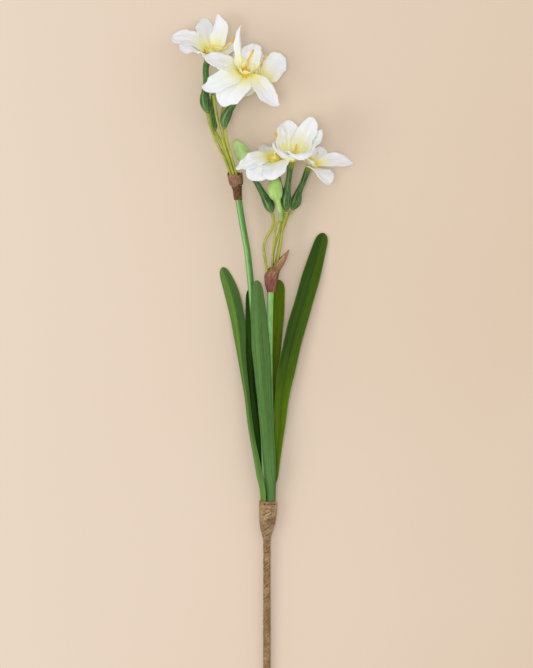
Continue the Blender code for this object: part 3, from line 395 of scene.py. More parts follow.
def paper_finish(name, base, light, dark, fibre_axis=(60.0, 900.0, 60.0), crease=120.0, foot=None, foot_at=0.35, foot_soft=0.18, fine=900.0, wear_and_shade=0.0):
    """Thin brown paper: fibres, creases that catch the light, darker folds painted as shade in their hollows, broader
    darker patches, dark wrinkle lines painted as shade in their grooves, and marks from the mesh: painted shade,
    painted highlights, dark seams and tone.
    """
    m = Nodes(name, rough=0.86, Specular_IOR_Level=0.18)
    u, v = m.uv()
    pos = m.position()
    mp = m.add("ShaderNodeMapping")
    m.link(pos, mp.inputs["Vector"])
    mp.inputs["Scale"].default_value = fibre_axis
    fibre = m.noise(mp.outputs[0], 1.0, 3.0, 0.65)
    folds = m.noise(pos, crease, 4.0, 0.65, 1.2)
    broad = m.noise(pos, crease * 0.35, 2.0)
    colour = m.mix(m.ramp(fibre, [(0.30, 0.0), (0.68, 1.0)]), base, light)
    # painted shade: darker colour in the hollows of the fold bumps; the broad patches after it are tone
    colour = m.mix(m.ramp(folds, [(0.30, 0.85), (0.48, 0.0)]), colour, dark)
    colour = m.mix(m.ramp(broad, [(0.35, 0.45), (0.62, 0.0)]), colour, dark)
    if foot is not None:
        f = m.ramp(m.math("ADD", v, m.math("MULTIPLY", m.math("SUBTRACT", folds, 0.5), 0.5)),
                   [(foot_at - foot_soft, 1.0), (foot_at + foot_soft, 0.0)])
        tone = m.mix(m.ramp(fibre, [(0.30, 0.0), (0.68, 1.0)]), foot, m.mix(1.0, foot, (1.5, 1.5, 1.5), "MULTIPLY"))
        colour = m.mix(m.math("MULTIPLY", f, 0.85), colour, tone)
    # painted shade: thin dark lines in the grooves of the wrinkle bumps
    wrinkle = m.math("ABSOLUTE", m.math("SUBTRACT", m.noise(pos, fine, 3.0, 0.6, 1.5), 0.5))
    shade_line = m.ramp(wrinkle, [(0.0, 1.0), (0.05, 0.0)])
    colour = m.mix(m.math("MULTIPLY", shade_line, 0.30), colour, m.mix(1.0, colour, (0.45, 0.42, 0.40), "MULTIPLY"))
    # marks from the mesh: the dark mark darkens as painted shade and the pale mark brightens as painted highlight, with
    # dark seams and tone
    if wear_and_shade:
        deep, high = m.wear()
        colour = m.mix(m.math("MULTIPLY", deep, wear_and_shade), colour, m.mix(1.0, colour, (0.25, 0.205, 0.175), "MULTIPLY"))
        colour = m.mix(m.math("MULTIPLY", high, wear_and_shade), colour, m.mix(1.0, colour, (2.0, 2.0, 2.1), "MULTIPLY"))
    n1 = m.bump(folds, 0.80, 0.0012)
    n2 = m.bump(m.ramp(wrinkle, [(0.0, 0.0), (0.10, 1.0)]), 0.55, 0.0004, n1)
    n3 = m.bump(fibre, 0.30, 0.0002, n2)
    return m.done(colour, n3)


# ------------------------------------------------------------------ mesh tools
made = {}


def publish(name, verts, faces, uv, material, stands_for=(), thick=None, smooth=True, world=True, marks=None):
    """Mesh object from arrays, with its shape coordinates, that rides on the spray."""
    co = to_world(verts) if world else np.asarray(verts, float)
    mesh = bpy.data.meshes.new(name)
    mesh.from_pydata([tuple(c) for c in co], [], [tuple(int(i) for i in f) for f in faces])
    mesh.update()
    layer = mesh.uv_layers.new(name="shape")
    idx = np.empty(len(mesh.loops), np.int32)
    mesh.loops.foreach_get("vertex_index", idx)
    layer.data.foreach_set("uv", np.asarray(uv, np.float32)[idx].ravel())
    # the marks map carries painted shade and painted highlights, with dark seams and tone, for the paper finishes
    if marks is not None:
        wear_and_shade = mesh.uv_layers.new(name="wear")
        wear_and_shade.data.foreach_set("uv", np.asarray(marks, np.float32)[idx].ravel())
    mesh.materials.append(material)
    if smooth:
        mesh.shade_smooth()
    ob = bpy.data.objects.new(name, mesh)
    bpy.context.scene.collection.objects.link(ob)
    if thick:
        mod = ob.modifiers.new("thickness", "SOLIDIFY")
        mod.thickness = thick * MM
        mod.offset = 0.0
        mod.use_rim = True
    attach(ob, "root")
    if stands_for:
        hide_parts(*stands_for)
    made[name] = ob
    return ob


def loft(path, radius, seg=24, twist=None):
    """Round bar along a path.  radius(s, angle) gives millimetres.  Ends closed with flat caps; a radius law that
    narrows at the ends rounds them.
    """
    path = np.asarray(path, float)
    n = len(path)
    tan = tangents(path)
    start = np.array([0.0, 0.0, 1.0]) if abs(tan[0][2]) < 0.9 else np.array([1.0, 0, 0])
    nor = transport(tan, start)
    bi = np.cross(tan, nor)
    arc = np.concatenate([[0.0], np.cumsum(np.linalg.norm(np.diff(path, axis=0), axis=1))])
    s = arc / arc[-1]
    g = 2 * math.pi * np.arange(seg) / seg
    S, G = np.meshgrid(s, g, indexing="ij")
    R = radius(S, G)
    ring = (path[:, None, :] + R[:, :, None] * (np.cos(G)[:, :, None] * bi[:, None, :]
            + np.sin(G)[:, :, None] * nor[:, None, :]))
    verts = ring.reshape(-1, 3)
    uv = np.stack([G.ravel() / (2 * math.pi), S.ravel()], axis=1)
    faces = []
    for r in range(n - 1):
        for c in range(seg):
            d = (c + 1) % seg
            faces.append((r * seg + c, r * seg + d, (r + 1) * seg + d, (r + 1) * seg + c))
    extra, euv = [path[0], path[-1]], [(0.5, 0.0), (0.5, 1.0)]
    a, b = len(verts), len(verts) + 1
    for c in range(seg):
        d = (c + 1) % seg
        faces.append((a, d, c))
        faces.append((b, (n - 1) * seg + c, (n - 1) * seg + d))
    return np.vstack([verts, extra]), faces, np.vstack([uv, euv])


def round_ends(profile_s, profile_r):
    """Radius law through stations."""
    ps, pr = np.asarray(profile_s, float), np.asarray(profile_r, float)

    def law(s):
        k = np.stack([ps, pr], axis=1)
        return smooth_interp(s, k)
    return law


def smooth_interp(x, knots):
    """Monotone-ish cubic through (x, y) knots."""
    kx, ky = knots[:, 0], knots[:, 1]
    m = np.zeros(len(kx))
    d = np.diff(ky) / np.diff(kx)
    for i in range(1, len(kx) - 1):
        m[i] = 0.0 if d[i - 1] * d[i] <= 0 else 2 * d[i - 1] * d[i] / (d[i - 1] + d[i])
    m[0], m[-1] = d[0], d[-1]
    i = np.clip(np.searchsorted(kx, x, side="right") - 1, 0, len(kx) - 2)
    h = kx[i + 1] - kx[i]
    u = np.clip((x - kx[i]) / h, 0, 1)
    return ((2 * u**3 - 3 * u**2 + 1) * ky[i] + (u**3 - 2 * u**2 + u) * h * m[i]
            + (-2 * u**3 + 3 * u**2) * ky[i + 1] + (u**3 - u**2) * h * m[i + 1])


def end_stations(count, tight=3):
    """Even stations with extra rings close to both ends."""
    s = np.linspace(0.0, 1.0, count)
    extra = np.array([0.003, 0.008, 0.016])[:tight]
    return np.unique(np.concatenate([s, extra, 1 - extra]))


# --------------------------------------------------------------------- tables
def grid_faces(rows, cols, closed=False, start=0):
    f = []
    for r in range(rows - 1):
        for c in range(cols if closed else cols - 1):
            d = (c + 1) % cols
            a, b = start + r * cols, start + (r + 1) * cols
            f.append((a + c, b + c, b + d, a + d))
    return f


RING_HOLE = 1.35                 # hole for the pistil's peg
RING_R = 5.2                     # where the petals leave the throat
HALF_BASE = math.radians(35)     # half of a petal's foot on the ring


def petal_width(s, base, half):
    """Half width along a petal, foot to tip: ovate with a soft point."""
    grow = smoothstep(s / 0.50) ** 0.85
    body = base + (half - base) * grow
    u = np.clip((s - 0.48) / 0.52, 0.0, 1.0)
    return body * (1.0 - u**2.3) ** 0.60


def petal_rows(count):
    e = np.linspace(0.0, 1.0, count + 1)
    return 1.0 - (1.0 - e) ** 1.25


def petal_grid(centre, axis, u, v, p, ns, nt):
    """Mid-surface of one petal: rows from the ring to the tip."""
    phi = math.radians(p["phi"])
    beta = math.radians(p.get("rise", 40))
    rad = math.cos(phi) * u + math.sin(phi) * v
    tip = np.array(p["tip"], float)
    p0 = centre + rad * RING_R
    d0 = math.cos(beta) * rad + math.sin(beta) * axis
    reach = np.linalg.norm(tip - p0)
    p1 = p0 + d0 * reach * p.get("k1", 0.36)
    d1 = unit(unit(tip - p1) + p.get("curl", 0.0) * axis)
    p2 = tip - d1 * reach * p.get("k2", 0.34)
    if "mid" in p:                      # where the petal's middle goes: x, y[, z]
        m = (p0 + 3 * p1 + 3 * p2 + tip) / 8
        shift = np.append(p["mid"], m[2])[:3] - m
        p1 = p1 + 0.6 * shift
        p2 = p2 + 2.0 * shift
    s = petal_rows(ns)
    fine = np.linspace(0.0, 1.0, 161)

    def bez(q):
        q = q[:, None]
        return ((1 - q)**3 * p0 + 3 * (1 - q)**2 * q * p1
                + 3 * (1 - q) * q**2 * p2 + q**3 * tip)
    curve = bez(fine)
    tan = tangents(curve)
    nor = transport(tan, -math.sin(beta) * rad + math.cos(beta) * axis)
    arc = np.concatenate([[0.0], np.cumsum(np.linalg.norm(np.diff(curve, axis=0), axis=1))])
    arc /= arc[-1]
    idx = np.interp(s, arc, np.arange(161))

    def pick(a):
        return np.stack([np.interp(idx, np.arange(161), a[:, c]) for c in range(3)], axis=1)
    cen, tan, nor = pick(curve), pick(tan), pick(nor)
    tan /= np.linalg.norm(tan, axis=1)[:, None]
    nor -= tan * np.sum(nor * tan, axis=1)[:, None]
    nor /= np.linalg.norm(nor, axis=1)[:, None]
    bi = np.cross(nor, tan)
    roll = np.radians(p.get("roll", 0.0)) * smoothstep(s / 0.8)
    cr, sr = np.cos(roll)[:, None], np.sin(roll)[:, None]
    bi, nor = bi * cr + nor * sr, nor * cr - bi * sr
    half = petal_width(s, RING_R * math.sin(HALF_BASE), p["width"] / 2)
    t = np.linspace(-1.0, 1.0, nt + 1)
    ease = smoothstep(s / 0.35)
    cup = np.radians(p.get("cup", 20.0)) * ease
    left = np.radians(p.get("left", 0.0)) * ease
    right = np.radians(p.get("right", 0.0)) * ease
    out = np.zeros((ns + 1, nt + 1, 3))
    for i in range(ns + 1):
        k = max(abs(cup[i]), 1e-4)
        x = half[i] * np.sin(k * t) / k
        n = half[i] * (1 - np.cos(k * t)) / k * (1 if cup[i] >= 0 else -1)
        h = np.where(t < 0, left[i], right[i])
        side = np.where(t < 0, -1.0, 1.0)
        xa = np.abs(x)
        x2 = side * (xa * np.cos(h) - n * np.sin(h))
        n2 = n * np.cos(h) + xa * np.sin(h)
        back = (1 - smoothstep(s[i] / 0.25)) * RING_R * (np.cos(HALF_BASE * t) - 1)
        out[i] = (cen[i] + bi[i] * x2[:, None] + nor[i] * n2[:, None] + rad * back[:, None])
    for j, tj in enumerate(t):
        a = phi + tj * HALF_BASE
        out[0, j] = centre + RING_R * (math.cos(a) * u + math.sin(a) * v)
    return out


def flower_frame(base, axis):
    a = unit(axis)
    u = unit(np.array([1.0, 0, 0]) - a[0] * a)
    return a, u, np.cross(a, u)


# stations: x, y, z, width; fold is the V angle of each half, + for raised edges;
# clasp is the arc of the foot round the stems, in degrees from +X towards +Z
LEAVES = {
    "leaf_left": dict(fold=-16, clasp=(170, 108), stations=[
        (-3.5, 196.0, 12.6, 5.6), (-7.8, 225.0, 13.2, 4.8), (-13.5, 255.5, 12.4, 4.2),
        (-17.0, 285.0, 10.6, 4.6), (-21.0, 314.5, 8.2, 6.9), (-25.0, 350.0, 4.8, 12.4),
        (-30.5, 373.7, 2.4, 12.4), (-35.8, 388.0, 1.2, 10.0), (-38.0, 393.8, 0.7, 8.0)]),
    "leaf_left_back": dict(fold=10, clasp=(238, 198), stations=[
        (-3.4, 196.0, 3.2, 6.0), (-4.9, 230.0, 3.0, 7.6), (-7.4, 259.0, 3.0, 8.6),
        (-10.9, 286.0, 3.0, 8.8), (-12.8, 312.0, 3.1, 9.2), (-14.0, 340.0, 3.4, 8.6),
        (-14.4, 359.0, 3.7, 7.6), (-15.0, 375.0, 4.0, 6.0)]),
    "leaf_front": dict(fold=-9, clasp=(96, 12), stations=[
        (3.8, 196.0, 14.6, 6.8), (3.1, 215.0, 16.2, 9.8), (1.7, 237.0, 18.4, 11.6),
        (0.2, 260.0, 20.2, 11.2), (-2.1, 284.0, 22.0, 12.4), (-3.6, 305.0, 23.4, 14.6),
        (-5.2, 325.0, 24.6, 15.6), (-6.6, 345.0, 25.6, 14.6), (-7.8, 366.0, 26.6, 11.6),
        (-8.5, 382.4, 27.4, 9.0)]),
    "leaf_right_back": dict(fold=-10, clasp=(282, 244), stations=[
        (1.0, 196.0, 2.2, 6.4), (1.0, 240.0, 2.4, 8.4), (1.6, 275.0, 2.6, 9.6),
        (3.0, 300.0, 2.8, 10.4), (5.6, 320.0, 3.2, 11.4), (7.9, 345.0, 3.8, 12.2),
        (9.0, 364.0, 4.4, 12.4), (10.4, 383.2, 5.2, 10.0)]),
    "leaf_right": dict(fold=14, clasp=(342, 288), stations=[
        (5.2, 196.0, 4.4, 6.0), (7.6, 225.0, 6.0, 6.4), (10.8, 255.5, 7.4, 9.0),
        (13.3, 286.0, 7.8, 13.2), (17.6, 310.0, 7.6, 15.4), (24.2, 339.0, 6.6, 16.2),
        (31.4, 364.0, 4.8, 16.4), (38.0, 387.0, 2.8, 15.8), (43.6, 406.6, 1.1, 13.6),
        (48.6, 423.2, 0.4, 10.0)]),
}

PEDICELS = {
    "pedicel_upper_left": [(-28.3, 463.5, 24.3), (-30.3, 471.5, 24.5), (-32.3, 477.4, 24.5), (-35.2, 485.0, 24.6),
                           (-39.2, 493.5, 24.5), (-44.0, 503.0, 24.2), (-47.6, 513.0, 23.9),
                           (-50.3, 524.6, 23.6)],
    "pedicel_upper_bud": [(-26.4, 463.5, 22.0), (-29.2, 475.5, 21.6), (-34.9, 490.0, 18.0),
                          (-39.2, 500.0, 15.6), (-44.2, 509.6, 13.2)],
    "pedicel_upper_small_bud": [(-26.4, 463.5, 26.6), (-29.4, 476.5, 28.0), (-33.8, 490.0, 29.0),
                                (-37.9, 503.0, 29.0), (-41.3, 516.0, 28.6), (-43.8, 530.0, 29.8),
                                (-45.2, 540.6, 30.8)],
    "pedicel_upper_right": [(-23.8, 463.5, 22.9), (-26.8, 475.5, 21.4), (-32.0, 492.0, 17.4),
                            (-35.6, 505.0, 13.6), (-37.9, 518.0, 11.0), (-37.4, 529.0, 10.2),
                            (-34.4, 535.2, 10.1)],
    "pedicel_upper_front": [(-23.8, 463.5, 25.8), (-26.9, 476.5, 27.2), (-31.4, 492.0, 29.4),
                            (-34.4, 503.0, 30.7), (-35.3, 511.0, 31.0)],
    "pedicel_lower_bud": [(1.2, 382.5, 20.2), (-1.2, 399.0, 20.0), (-2.6, 409.0, 19.7),
                          (-0.7, 418.5, 20.2), (4.2, 426.5, 21.4), (5.6, 433.0, 21.6),
                          (4.6, 439.2, 21.1)],
    "pedicel_lower_small_bud": [(3.5, 382.5, 22.7), (4.3, 395.0, 24.2), (5.2, 409.0, 26.0),
                                (6.7, 421.0, 27.7), (7.4, 427.0, 28.5), (8.6, 430.4, 28.9), (11.3, 432.2, 29.2)],
    "pedicel_lower_centre": [(6.1, 382.5, 21.0), (9.5, 400.9, 22.4), (11.7, 414.2, 23.4),
                             (13.2, 424.5, 24.0), (14.9, 434.6, 24.6), (16.7, 439.9, 24.9)],
    "pedicel_lower_right": [(5.3, 382.5, 18.2), (8.0, 400.0, 18.7), (11.6, 417.0, 17.0),
                            (14.2, 428.0, 16.6), (17.2, 436.0, 16.8), (20.8, 442.0, 17.0)],
    "pedicel_lower_left": [(2.5, 382.5, 18.0), (4.4, 396.0, 18.4), (6.9, 413.2, 17.4),
                           (10.9, 424.6, 15.8), (13.3, 434.0, 15.0), (13.8, 447.8, 15.0)],
}

# floral tube: bottom, then points up to the throat; last is the flower's base
TUBE_PROFILE = [(0.00, 1.35), (0.05, 2.35), (0.11, 3.70), (0.18, 4.45), (0.26, 4.20),
                (0.36, 3.25), (0.50, 2.65), (0.70, 2.50), (0.86, 2.80), (0.95, 3.35), (1.00, 3.80)]


def tube_path(points, axis=None):
    p = [np.array(q, float) for q in points]
    if axis is not None:
        p = p[:-1] + [p[-1] - unit(axis) * 5.0, p[-1] - unit(axis) * 2.2, p[-1]]
    return p

BUD_TUBE_PROFILE = [(0.00, 1.35), (0.05, 2.35), (0.11, 3.80), (0.19, 4.60), (0.28, 4.35),
                    (0.40, 3.30), (0.56, 2.60), (0.78, 2.05), (1.00, 1.80)]

FLOWERS = {
    "upper_left": dict(
        axis=(0.28, 0.80, 0.52), cup=(4.3, 5.6, 4.5),
        tube=[(-50.4, 525.0, 23.5), (-52.8, 536.0, 22.8), (-51.7, 551.0, 20.6),
              (-51.8, 565.0, 18.6), (-48.7, 575.3, 21.5)],
        style=[(-41.5, 580.6, 29.5), (-35.8, 579.8, 32.0), (-31.8, 583.4, 33.4), (-27.6, 589.2, 33.8)],
        outer=[dict(phi=115, tip=(-52.2, 607.2, 0.2), mid=(-52.3, 592.0), width=17.6, rise=50, cup=22, curl=0.1),
               dict(phi=228, tip=(-69.0, 573.8, 44.0), mid=(-61.6, 578.3, 34.0), width=19, rise=24, cup=16, curl=-0.2),
               dict(phi=344, tip=(-21.0, 583.6, 25.0), mid=(-35.0, 577.0, 23.0), width=16, rise=20, cup=20)],
        inner=[dict(phi=58, tip=(-42.8, 610.2, 8.0), mid=(-38.6, 593.0), width=18, rise=66, cup=14, left=38, curl=0.1),
               dict(phi=172, tip=(-80.8, 590.3, 17.0), mid=(-65.7, 588.0), width=16.8, rise=60, cup=14, roll=-21, curl=-0.1),
               dict(phi=286, tip=(-44.6, 563.5, 44.0), width=18, rise=42, cup=12, curl=-0.6)]),
    "upper_front": dict(
        axis=(0.20, 0.80, 0.56), cup=(4.3, 6.0, 6.0),
        tube=[(-35.5, 511.4, 31.0), (-35.7, 518.4, 31.8), (-32.1, 526.6, 33.4),
              (-27.4, 534.0, 35.2), (-19.4, 557.2, 41.0)],
        style=[(-16.9, 566.4, 51.0), (-15.6, 569.5, 54.0), (-13.2, 573.6, 57.0), (-11.4, 577.6, 59.0)],
        outer=[dict(phi=163, tip=(-51.2, 569.2, 50.0), mid=(-38.6, 567.8, 43.6), width=17, rise=34, cup=16, curl=-0.1),
               dict(phi=272, tip=(-34.0, 529.6, 55.0), mid=(-28.6, 543.4), width=23, rise=24, cup=12, curl=-0.4),
               dict(phi=52, tip=(-11.0, 584.0, 26.0), mid=(-13.7, 573.0), width=19.5, rise=57, cup=20)],
        inner=[dict(phi=218, tip=(-54.0, 548.0, 57.0), mid=(-38.4, 551.0, 56.6), width=18, rise=58, cup=14, curl=-0.2),
               dict(phi=328, tip=(10.8, 531.6, 47.0), mid=(-2.4, 544.4), width=18, rise=34, cup=10, left=8, right=10, curl=-0.25),
               dict(phi=108, tip=(-22.0, 599.8, 42.0), mid=(-23.0, 580.6), width=14.5, rise=64, cup=4, left=-64, right=-64)]),
    "upper_right": dict(
        axis=(0.55, 0.45, 0.70), cup=(4.3, 5.4, 4.2),
        tube=[(-34.0, 535.5, 10.2), (-30.6, 538.8, 10.6), (-24.0, 543.0, 12.0),
              (-16.0, 548.0, 14.4), (-8.3, 553.5, 19.0)],
        style=[(-4.9, 560.0, 27.0), (-4.6, 565.2, 30.0), (-2.8, 569.8, 31.5), (0.3, 574.2, 32.5)],
        outer=[dict(phi=84, tip=(-9.6, 581.0, 1.6), width=16, rise=24, cup=16),
               dict(phi=196, tip=(-33.0, 553.5, 6.0), mid=(-22.0, 556.0, 14.0), width=15, rise=10, cup=14, curl=-0.2),
               dict(phi=318, tip=(4.4, 536.4, 7.0), width=14, rise=14, cup=14, curl=-0.2)],
        inner=[dict(phi=30, tip=(16.4, 570.2, 13.0), mid=(4.8, 563.8), width=20, rise=42, cup=12, left=4, right=8),
               dict(phi=142, tip=(-27.0, 577.0, 11.0), mid=(-19.2, 567.6), width=15, rise=44, cup=16),
               dict(phi=252, tip=(-29.6, 538.4, 20.0), mid=(-17.4, 546.4, 28.5), width=14, rise=40, cup=16, curl=-0.2)]),
    "lower_left": dict(
        axis=(-0.05, 0.80, 0.60), cup=(4.3, 5.4, 4.0),
        tube=[(13.8, 448.4, 15.0), (11.8, 456.0, 15.4), (9.4, 468.0, 18.4), (7.0, 485.0, 27.0)],
        style=[(7.4, 491.5, 33.0), (8.2, 497.0, 34.0), (8.0, 503.4, 34.0), (7.2, 509.7, 33.5)],
        outer=[dict(phi=120, tip=(-1.0, 499.4, 1.4), width=17, rise=30, cup=14),
               dict(phi=236, tip=(-7.6, 466.8, 46.0), mid=(-3.6, 477.6, 39.0), width=19, rise=27, cup=8, curl=-0.5),
               dict(phi=16, tip=(22.0, 500.4, 11.0), width=14, rise=22, cup=14)],
        inner=[dict(phi=178, tip=(-26.4, 477.6, 36.0), mid=(-11.4, 484.4), width=17.5, rise=46, cup=10, curl=-0.3),
               dict(phi=295, tip=(4.4, 467.2, 55.0), mid=(7.4, 478.0, 47.5), width=18, rise=46, cup=8, curl=-0.5),
               dict(phi=62, tip=(14.8, 504.5, 8.0), width=14, rise=38, cup=16)]),
    "lower_centre": dict(
        axis=(0.08, 0.86, 0.50), cup=(4.3, 5.0, 3.2),
        tube=[(16.9, 440.8, 25.0), (16.3, 449.0, 26.0), (17.3, 460.0, 28.2), (20.6, 485.2, 36.0)],
        style=[(22.6, 491.0, 41.0), (24.0, 493.0, 43.0), (25.0, 495.4, 45.0), (25.1, 497.8, 47.0)],
        outer=[dict(phi=104, tip=(18.4, 519.4, 22.0), mid=(18.6, 502.6), width=20, rise=53, cup=22),
               dict(phi=228, tip=(12.0, 486.2, 60.0), mid=(12.2, 491.0), width=16.4, rise=42, cup=32, curl=-0.8),
               dict(phi=348, tip=(47.0, 510.4, 41.0), mid=(38.4, 496.6), width=19.6, rise=44, cup=28, roll=24)],
        inner=[dict(phi=46, tip=(38.0, 521.8, 33.0), mid=(33.4, 505.6), width=19, rise=66, cup=22),
               dict(phi=164, tip=(12.6, 514.6, 46.0), mid=(11.0, 500.6), width=16, rise=70, cup=24, roll=-10),
               dict(phi=288, tip=(28.0, 484.2, 62.0), mid=(27.4, 489.2), width=18.2, rise=52, cup=34, curl=-0.8)]),
    "lower_right": dict(
        axis=(0.45, 0.70, 0.55), cup=(4.3, 5.2, 3.2),
        tube=[(21.0, 442.4, 17.0), (24.2, 449.0, 16.8), (26.4, 456.4, 16.2),
              (30.2, 465.0, 15.8), (37.8, 481.6, 19.6)],
        style=[(40.8, 486.6, 25.0), (41.9, 488.2, 27.0), (42.9, 489.8, 29.0), (43.7, 491.4, 31.0)],
        outer=[dict(phi=70, tip=(50.0, 495.0, 2.0), width=15, rise=10, cup=14),
               dict(phi=180, tip=(20.6, 491.0, 5.0), mid=(28.4, 488.6, 13.0), width=13, rise=12, cup=14),
               dict(phi=288, tip=(51.8, 463.3, 37.0), mid=(45.8, 474.4), width=21, rise=24, cup=12, left=4, right=4, curl=-0.3)],
        inner=[dict(phi=15, tip=(73.8, 482.5, 0.3), mid=(58.6, 485.0), width=15, rise=36, cup=12, roll=28, left=8, right=8),
               dict(phi=125, tip=(34.5, 503.4, 7.0), width=14, rise=38, cup=16),
               dict(phi=232, tip=(34.0, 486.0, 43.0), width=13, rise=52, cup=24)]),
}
PETAL_THICK = 0.70
OUTER_LIFT, INNER_LIFT, CORONA_LIFT = 0.65, 1.65, 2.60

SPATHE_TALL = [(451.2, -24.2, 23.6, 3.45, 174.0, 0.0), (456.0, -24.7, 23.9, 3.65, 174.0, 0.0),
               (461.5, -25.3, 24.2, 4.25, 174.0, 0.0), (466.0, -26.1, 24.4, 5.30, 174.0, 0.4),
               (470.0, -26.8, 24.7, 5.60, 174.0, 1.0), (473.6, -27.1, 24.9, 5.55, 174.0, 2.0)]
SPATHE_SHORT = [(372.8, 3.4, 19.4, 3.25, 174.0, 0.0), (377.5, 3.5, 19.7, 4.30, 174.0, 0.0),
                (383.0, 3.7, 20.0, 5.60, 172.0, 0.0), (388.0, 4.0, 20.3, 6.20, 160.0, 0.0),
                (393.0, 6.2, 20.8, 6.10, 132.0, 0.0), (398.5, 9.8, 21.4, 5.20, 112.0, 0.0),
                (403.5, 13.8, 22.0, 3.60, 100.0, 0.0), (408.3, 18.0, 22.6, 0.90, 90.0, 0.0)]
BUD_TUBES = {
    "lower_bud_tube": [(4.4, 439.8, 21.0), (2.2, 446.5, 20.0), (-4.1, 457.8, 18.2),
                       (-9.5, 467.2, 17.2), (-15.2, 476.2, 16.4)],
    "upper_bud_tube": [(-44.3, 510.0, 12.9), (-46.0, 519.0, 12.4), (-46.3, 531.0, 12.4),
                       (-44.6, 543.0, 13.0), (-40.2, 556.8, 15.0)]}
CLOSED = [(0.0, 1.70), (0.08, 3.00), (0.20, 4.80), (0.36, 5.95), (0.54, 6.25),
          (0.72, 5.55), (0.86, 4.20), (0.95, 2.70), (1.0, 1.00)]
SMALL = [(0.0, 1.50), (0.06, 2.05), (0.25, 2.05), (0.42, 2.15), (0.47, 2.70), (0.51, 4.30), (0.56, 5.50),
         (0.63, 6.15), (0.71, 6.30), (0.80, 5.80), (0.88, 4.60), (0.94, 3.10), (0.98, 1.80), (1.0, 0.60)]
BUDS = {
    "lower_bud_closed": ([(-15.4, 476.6, 16.4), (-20.4, 489.0, 15.6), (-27.4, 502.6, 15.2)], CLOSED, 1.0),
    "upper_bud_closed": ([(-40.0, 557.3, 15.0), (-37.0, 566.0, 16.4), (-34.2, 575.4, 17.8)], CLOSED, 0.82),
    "lower_bud_small": ([(11.6, 433.1, 29.7), (11.2, 441.0, 30.9), (9.4, 449.6, 31.8),
                         (6.9, 460.0, 32.8), (9.2, 471.0, 33.6)], SMALL, 1.0),
    "upper_bud_small": ([(-45.3, 541.1, 30.9), (-45.0, 544.5, 31.4), (-43.6, 551.0, 32.4),
                         (-42.2, 558.6, 33.4)], SMALL, 0.8)}


# ------------------------------------------------------------------- petals


# how each petal's cloth is cut and shaped, by flower and by petal direction
LOOKS = {
    ("upper_left", 115): dict(point=0.40, wide=1.10, grow=0.28, shoulder=0.5),
    ("upper_left", 58): dict(point=1.0, wide=1.04, grow=0.30),
    ("upper_left", 172): dict(point=0.0, wide=1.28, grow=0.18, shoulder=0.55, ruffle=0.7),
    ("upper_left", 228): dict(point=0.0, wide=1.28, grow=0.14, ruffle=1.2, frill=3.4, bends=[(0.15, 0.5, 0.3, 1.2, 0.3)]),
    ("upper_left", 344): dict(point=0.6, wide=1.25, grow=0.25, ruffle=1.2),
    ("upper_left", 286): dict(point=0.3, wide=1.25, grow=0.25),
    ("upper_front", 163): dict(point=0.1, wide=1.36, grow=0.28, shoulder=0.5, bends=[(0.15, 0.7, -0.2, -0.9, 0.0)]),
    ("upper_front", 272): dict(point=0.0, wide=1.14, grow=0.32, shoulder=0.6, ruffle=1.1),
    ("upper_front", 52): dict(point=0.1, wide=1.0, grow=0.28, shoulder=0.6, ruffle=1.1, vein=0.35, ribs=3.0),
    ("upper_front", 218): dict(point=0.0, wide=1.10, grow=0.30, shoulder=0.5),
    ("upper_front", 328): dict(point=0.45, wide=1.14, grow=0.34, ruffle=1.1, frill=3.0, crease=0.9,
                               bends=[(0.05, 0.40, -0.4, -1.8, 0.0), (0.60, 1.0, 0.4, 1.5, 0.0)]),
    ("upper_front", 108): dict(point=1.0, wide=1.0, grow=0.2, ruffle=0.1, crumple=0.2, crease=0.0),
    ("upper_right", 84): dict(point=0.4, wide=1.1),
    ("upper_right", 196): dict(point=0.3, wide=1.1),
    ("upper_right", 318): dict(point=0.4, wide=1.1),
    ("upper_right", 30): dict(point=0.0, wide=1.10, grow=0.22, shoulder=0.62),
    ("upper_right", 142): dict(point=0.4, wide=1.1),
    ("upper_right", 252): dict(point=0.3, wide=1.1),
    ("lower_left", 120): dict(point=1.6, wide=0.98, grow=0.20, shoulder=0.12, ruffle=0.4, bends=[(0.10, 0.50, -3.2, -0.6, 0.0), (0.50, 1.0, 3.4, 1.2, 0.0)]),
    ("lower_left", 236): dict(point=0.0, wide=1.32, grow=0.26, shoulder=0.66, ruffle=1.0),
    ("lower_left", 16): dict(point=0.3, wide=1.1),
    ("lower_left", 178): dict(point=0.35, wide=0.94, grow=0.28, shoulder=0.35, ruffle=1.6, frill=3.4),
    ("lower_left", 295): dict(point=0.0, wide=1.32, grow=0.26, shoulder=0.66, ruffle=0.8),
    ("lower_left", 62): dict(point=0.3, wide=1.1),
    ("lower_centre", 104): dict(point=0.40, wide=1.14, grow=0.28, shoulder=0.5),
    ("lower_centre", 228): dict(point=0.0, wide=1.36, grow=0.25, shoulder=0.65, ruffle=0.6, bends=[(0.30, 1.0, 1.3, -0.3, 0.5)]),
    ("lower_centre", 348): dict(point=0.35, wide=1.15, grow=0.28, shoulder=0.5),
    ("lower_centre", 46): dict(point=0.10, wide=1.14, grow=0.28, shoulder=0.5, crumple=0.5),
    ("lower_centre", 164): dict(point=0.4, wide=1.15, grow=0.28, shoulder=0.5),
    ("lower_centre", 288): dict(point=0.0, wide=1.30, grow=0.25, shoulder=0.65, ruffle=0.8),
    ("lower_right", 70): dict(point=0.2, wide=1.0),
    ("lower_right", 180): dict(point=0.3, wide=1.1),
    ("lower_right", 288): dict(point=0.30, wide=1.20, grow=0.25, shoulder=0.5),
    ("lower_right", 15): dict(point=0.75, wide=1.0, grow=0.30, crease=1.0, ruffle=0.7),
    ("lower_right", 125): dict(point=0.3, wide=1.1),
    ("lower_right", 232): dict(point=0.2, wide=1.15),
}


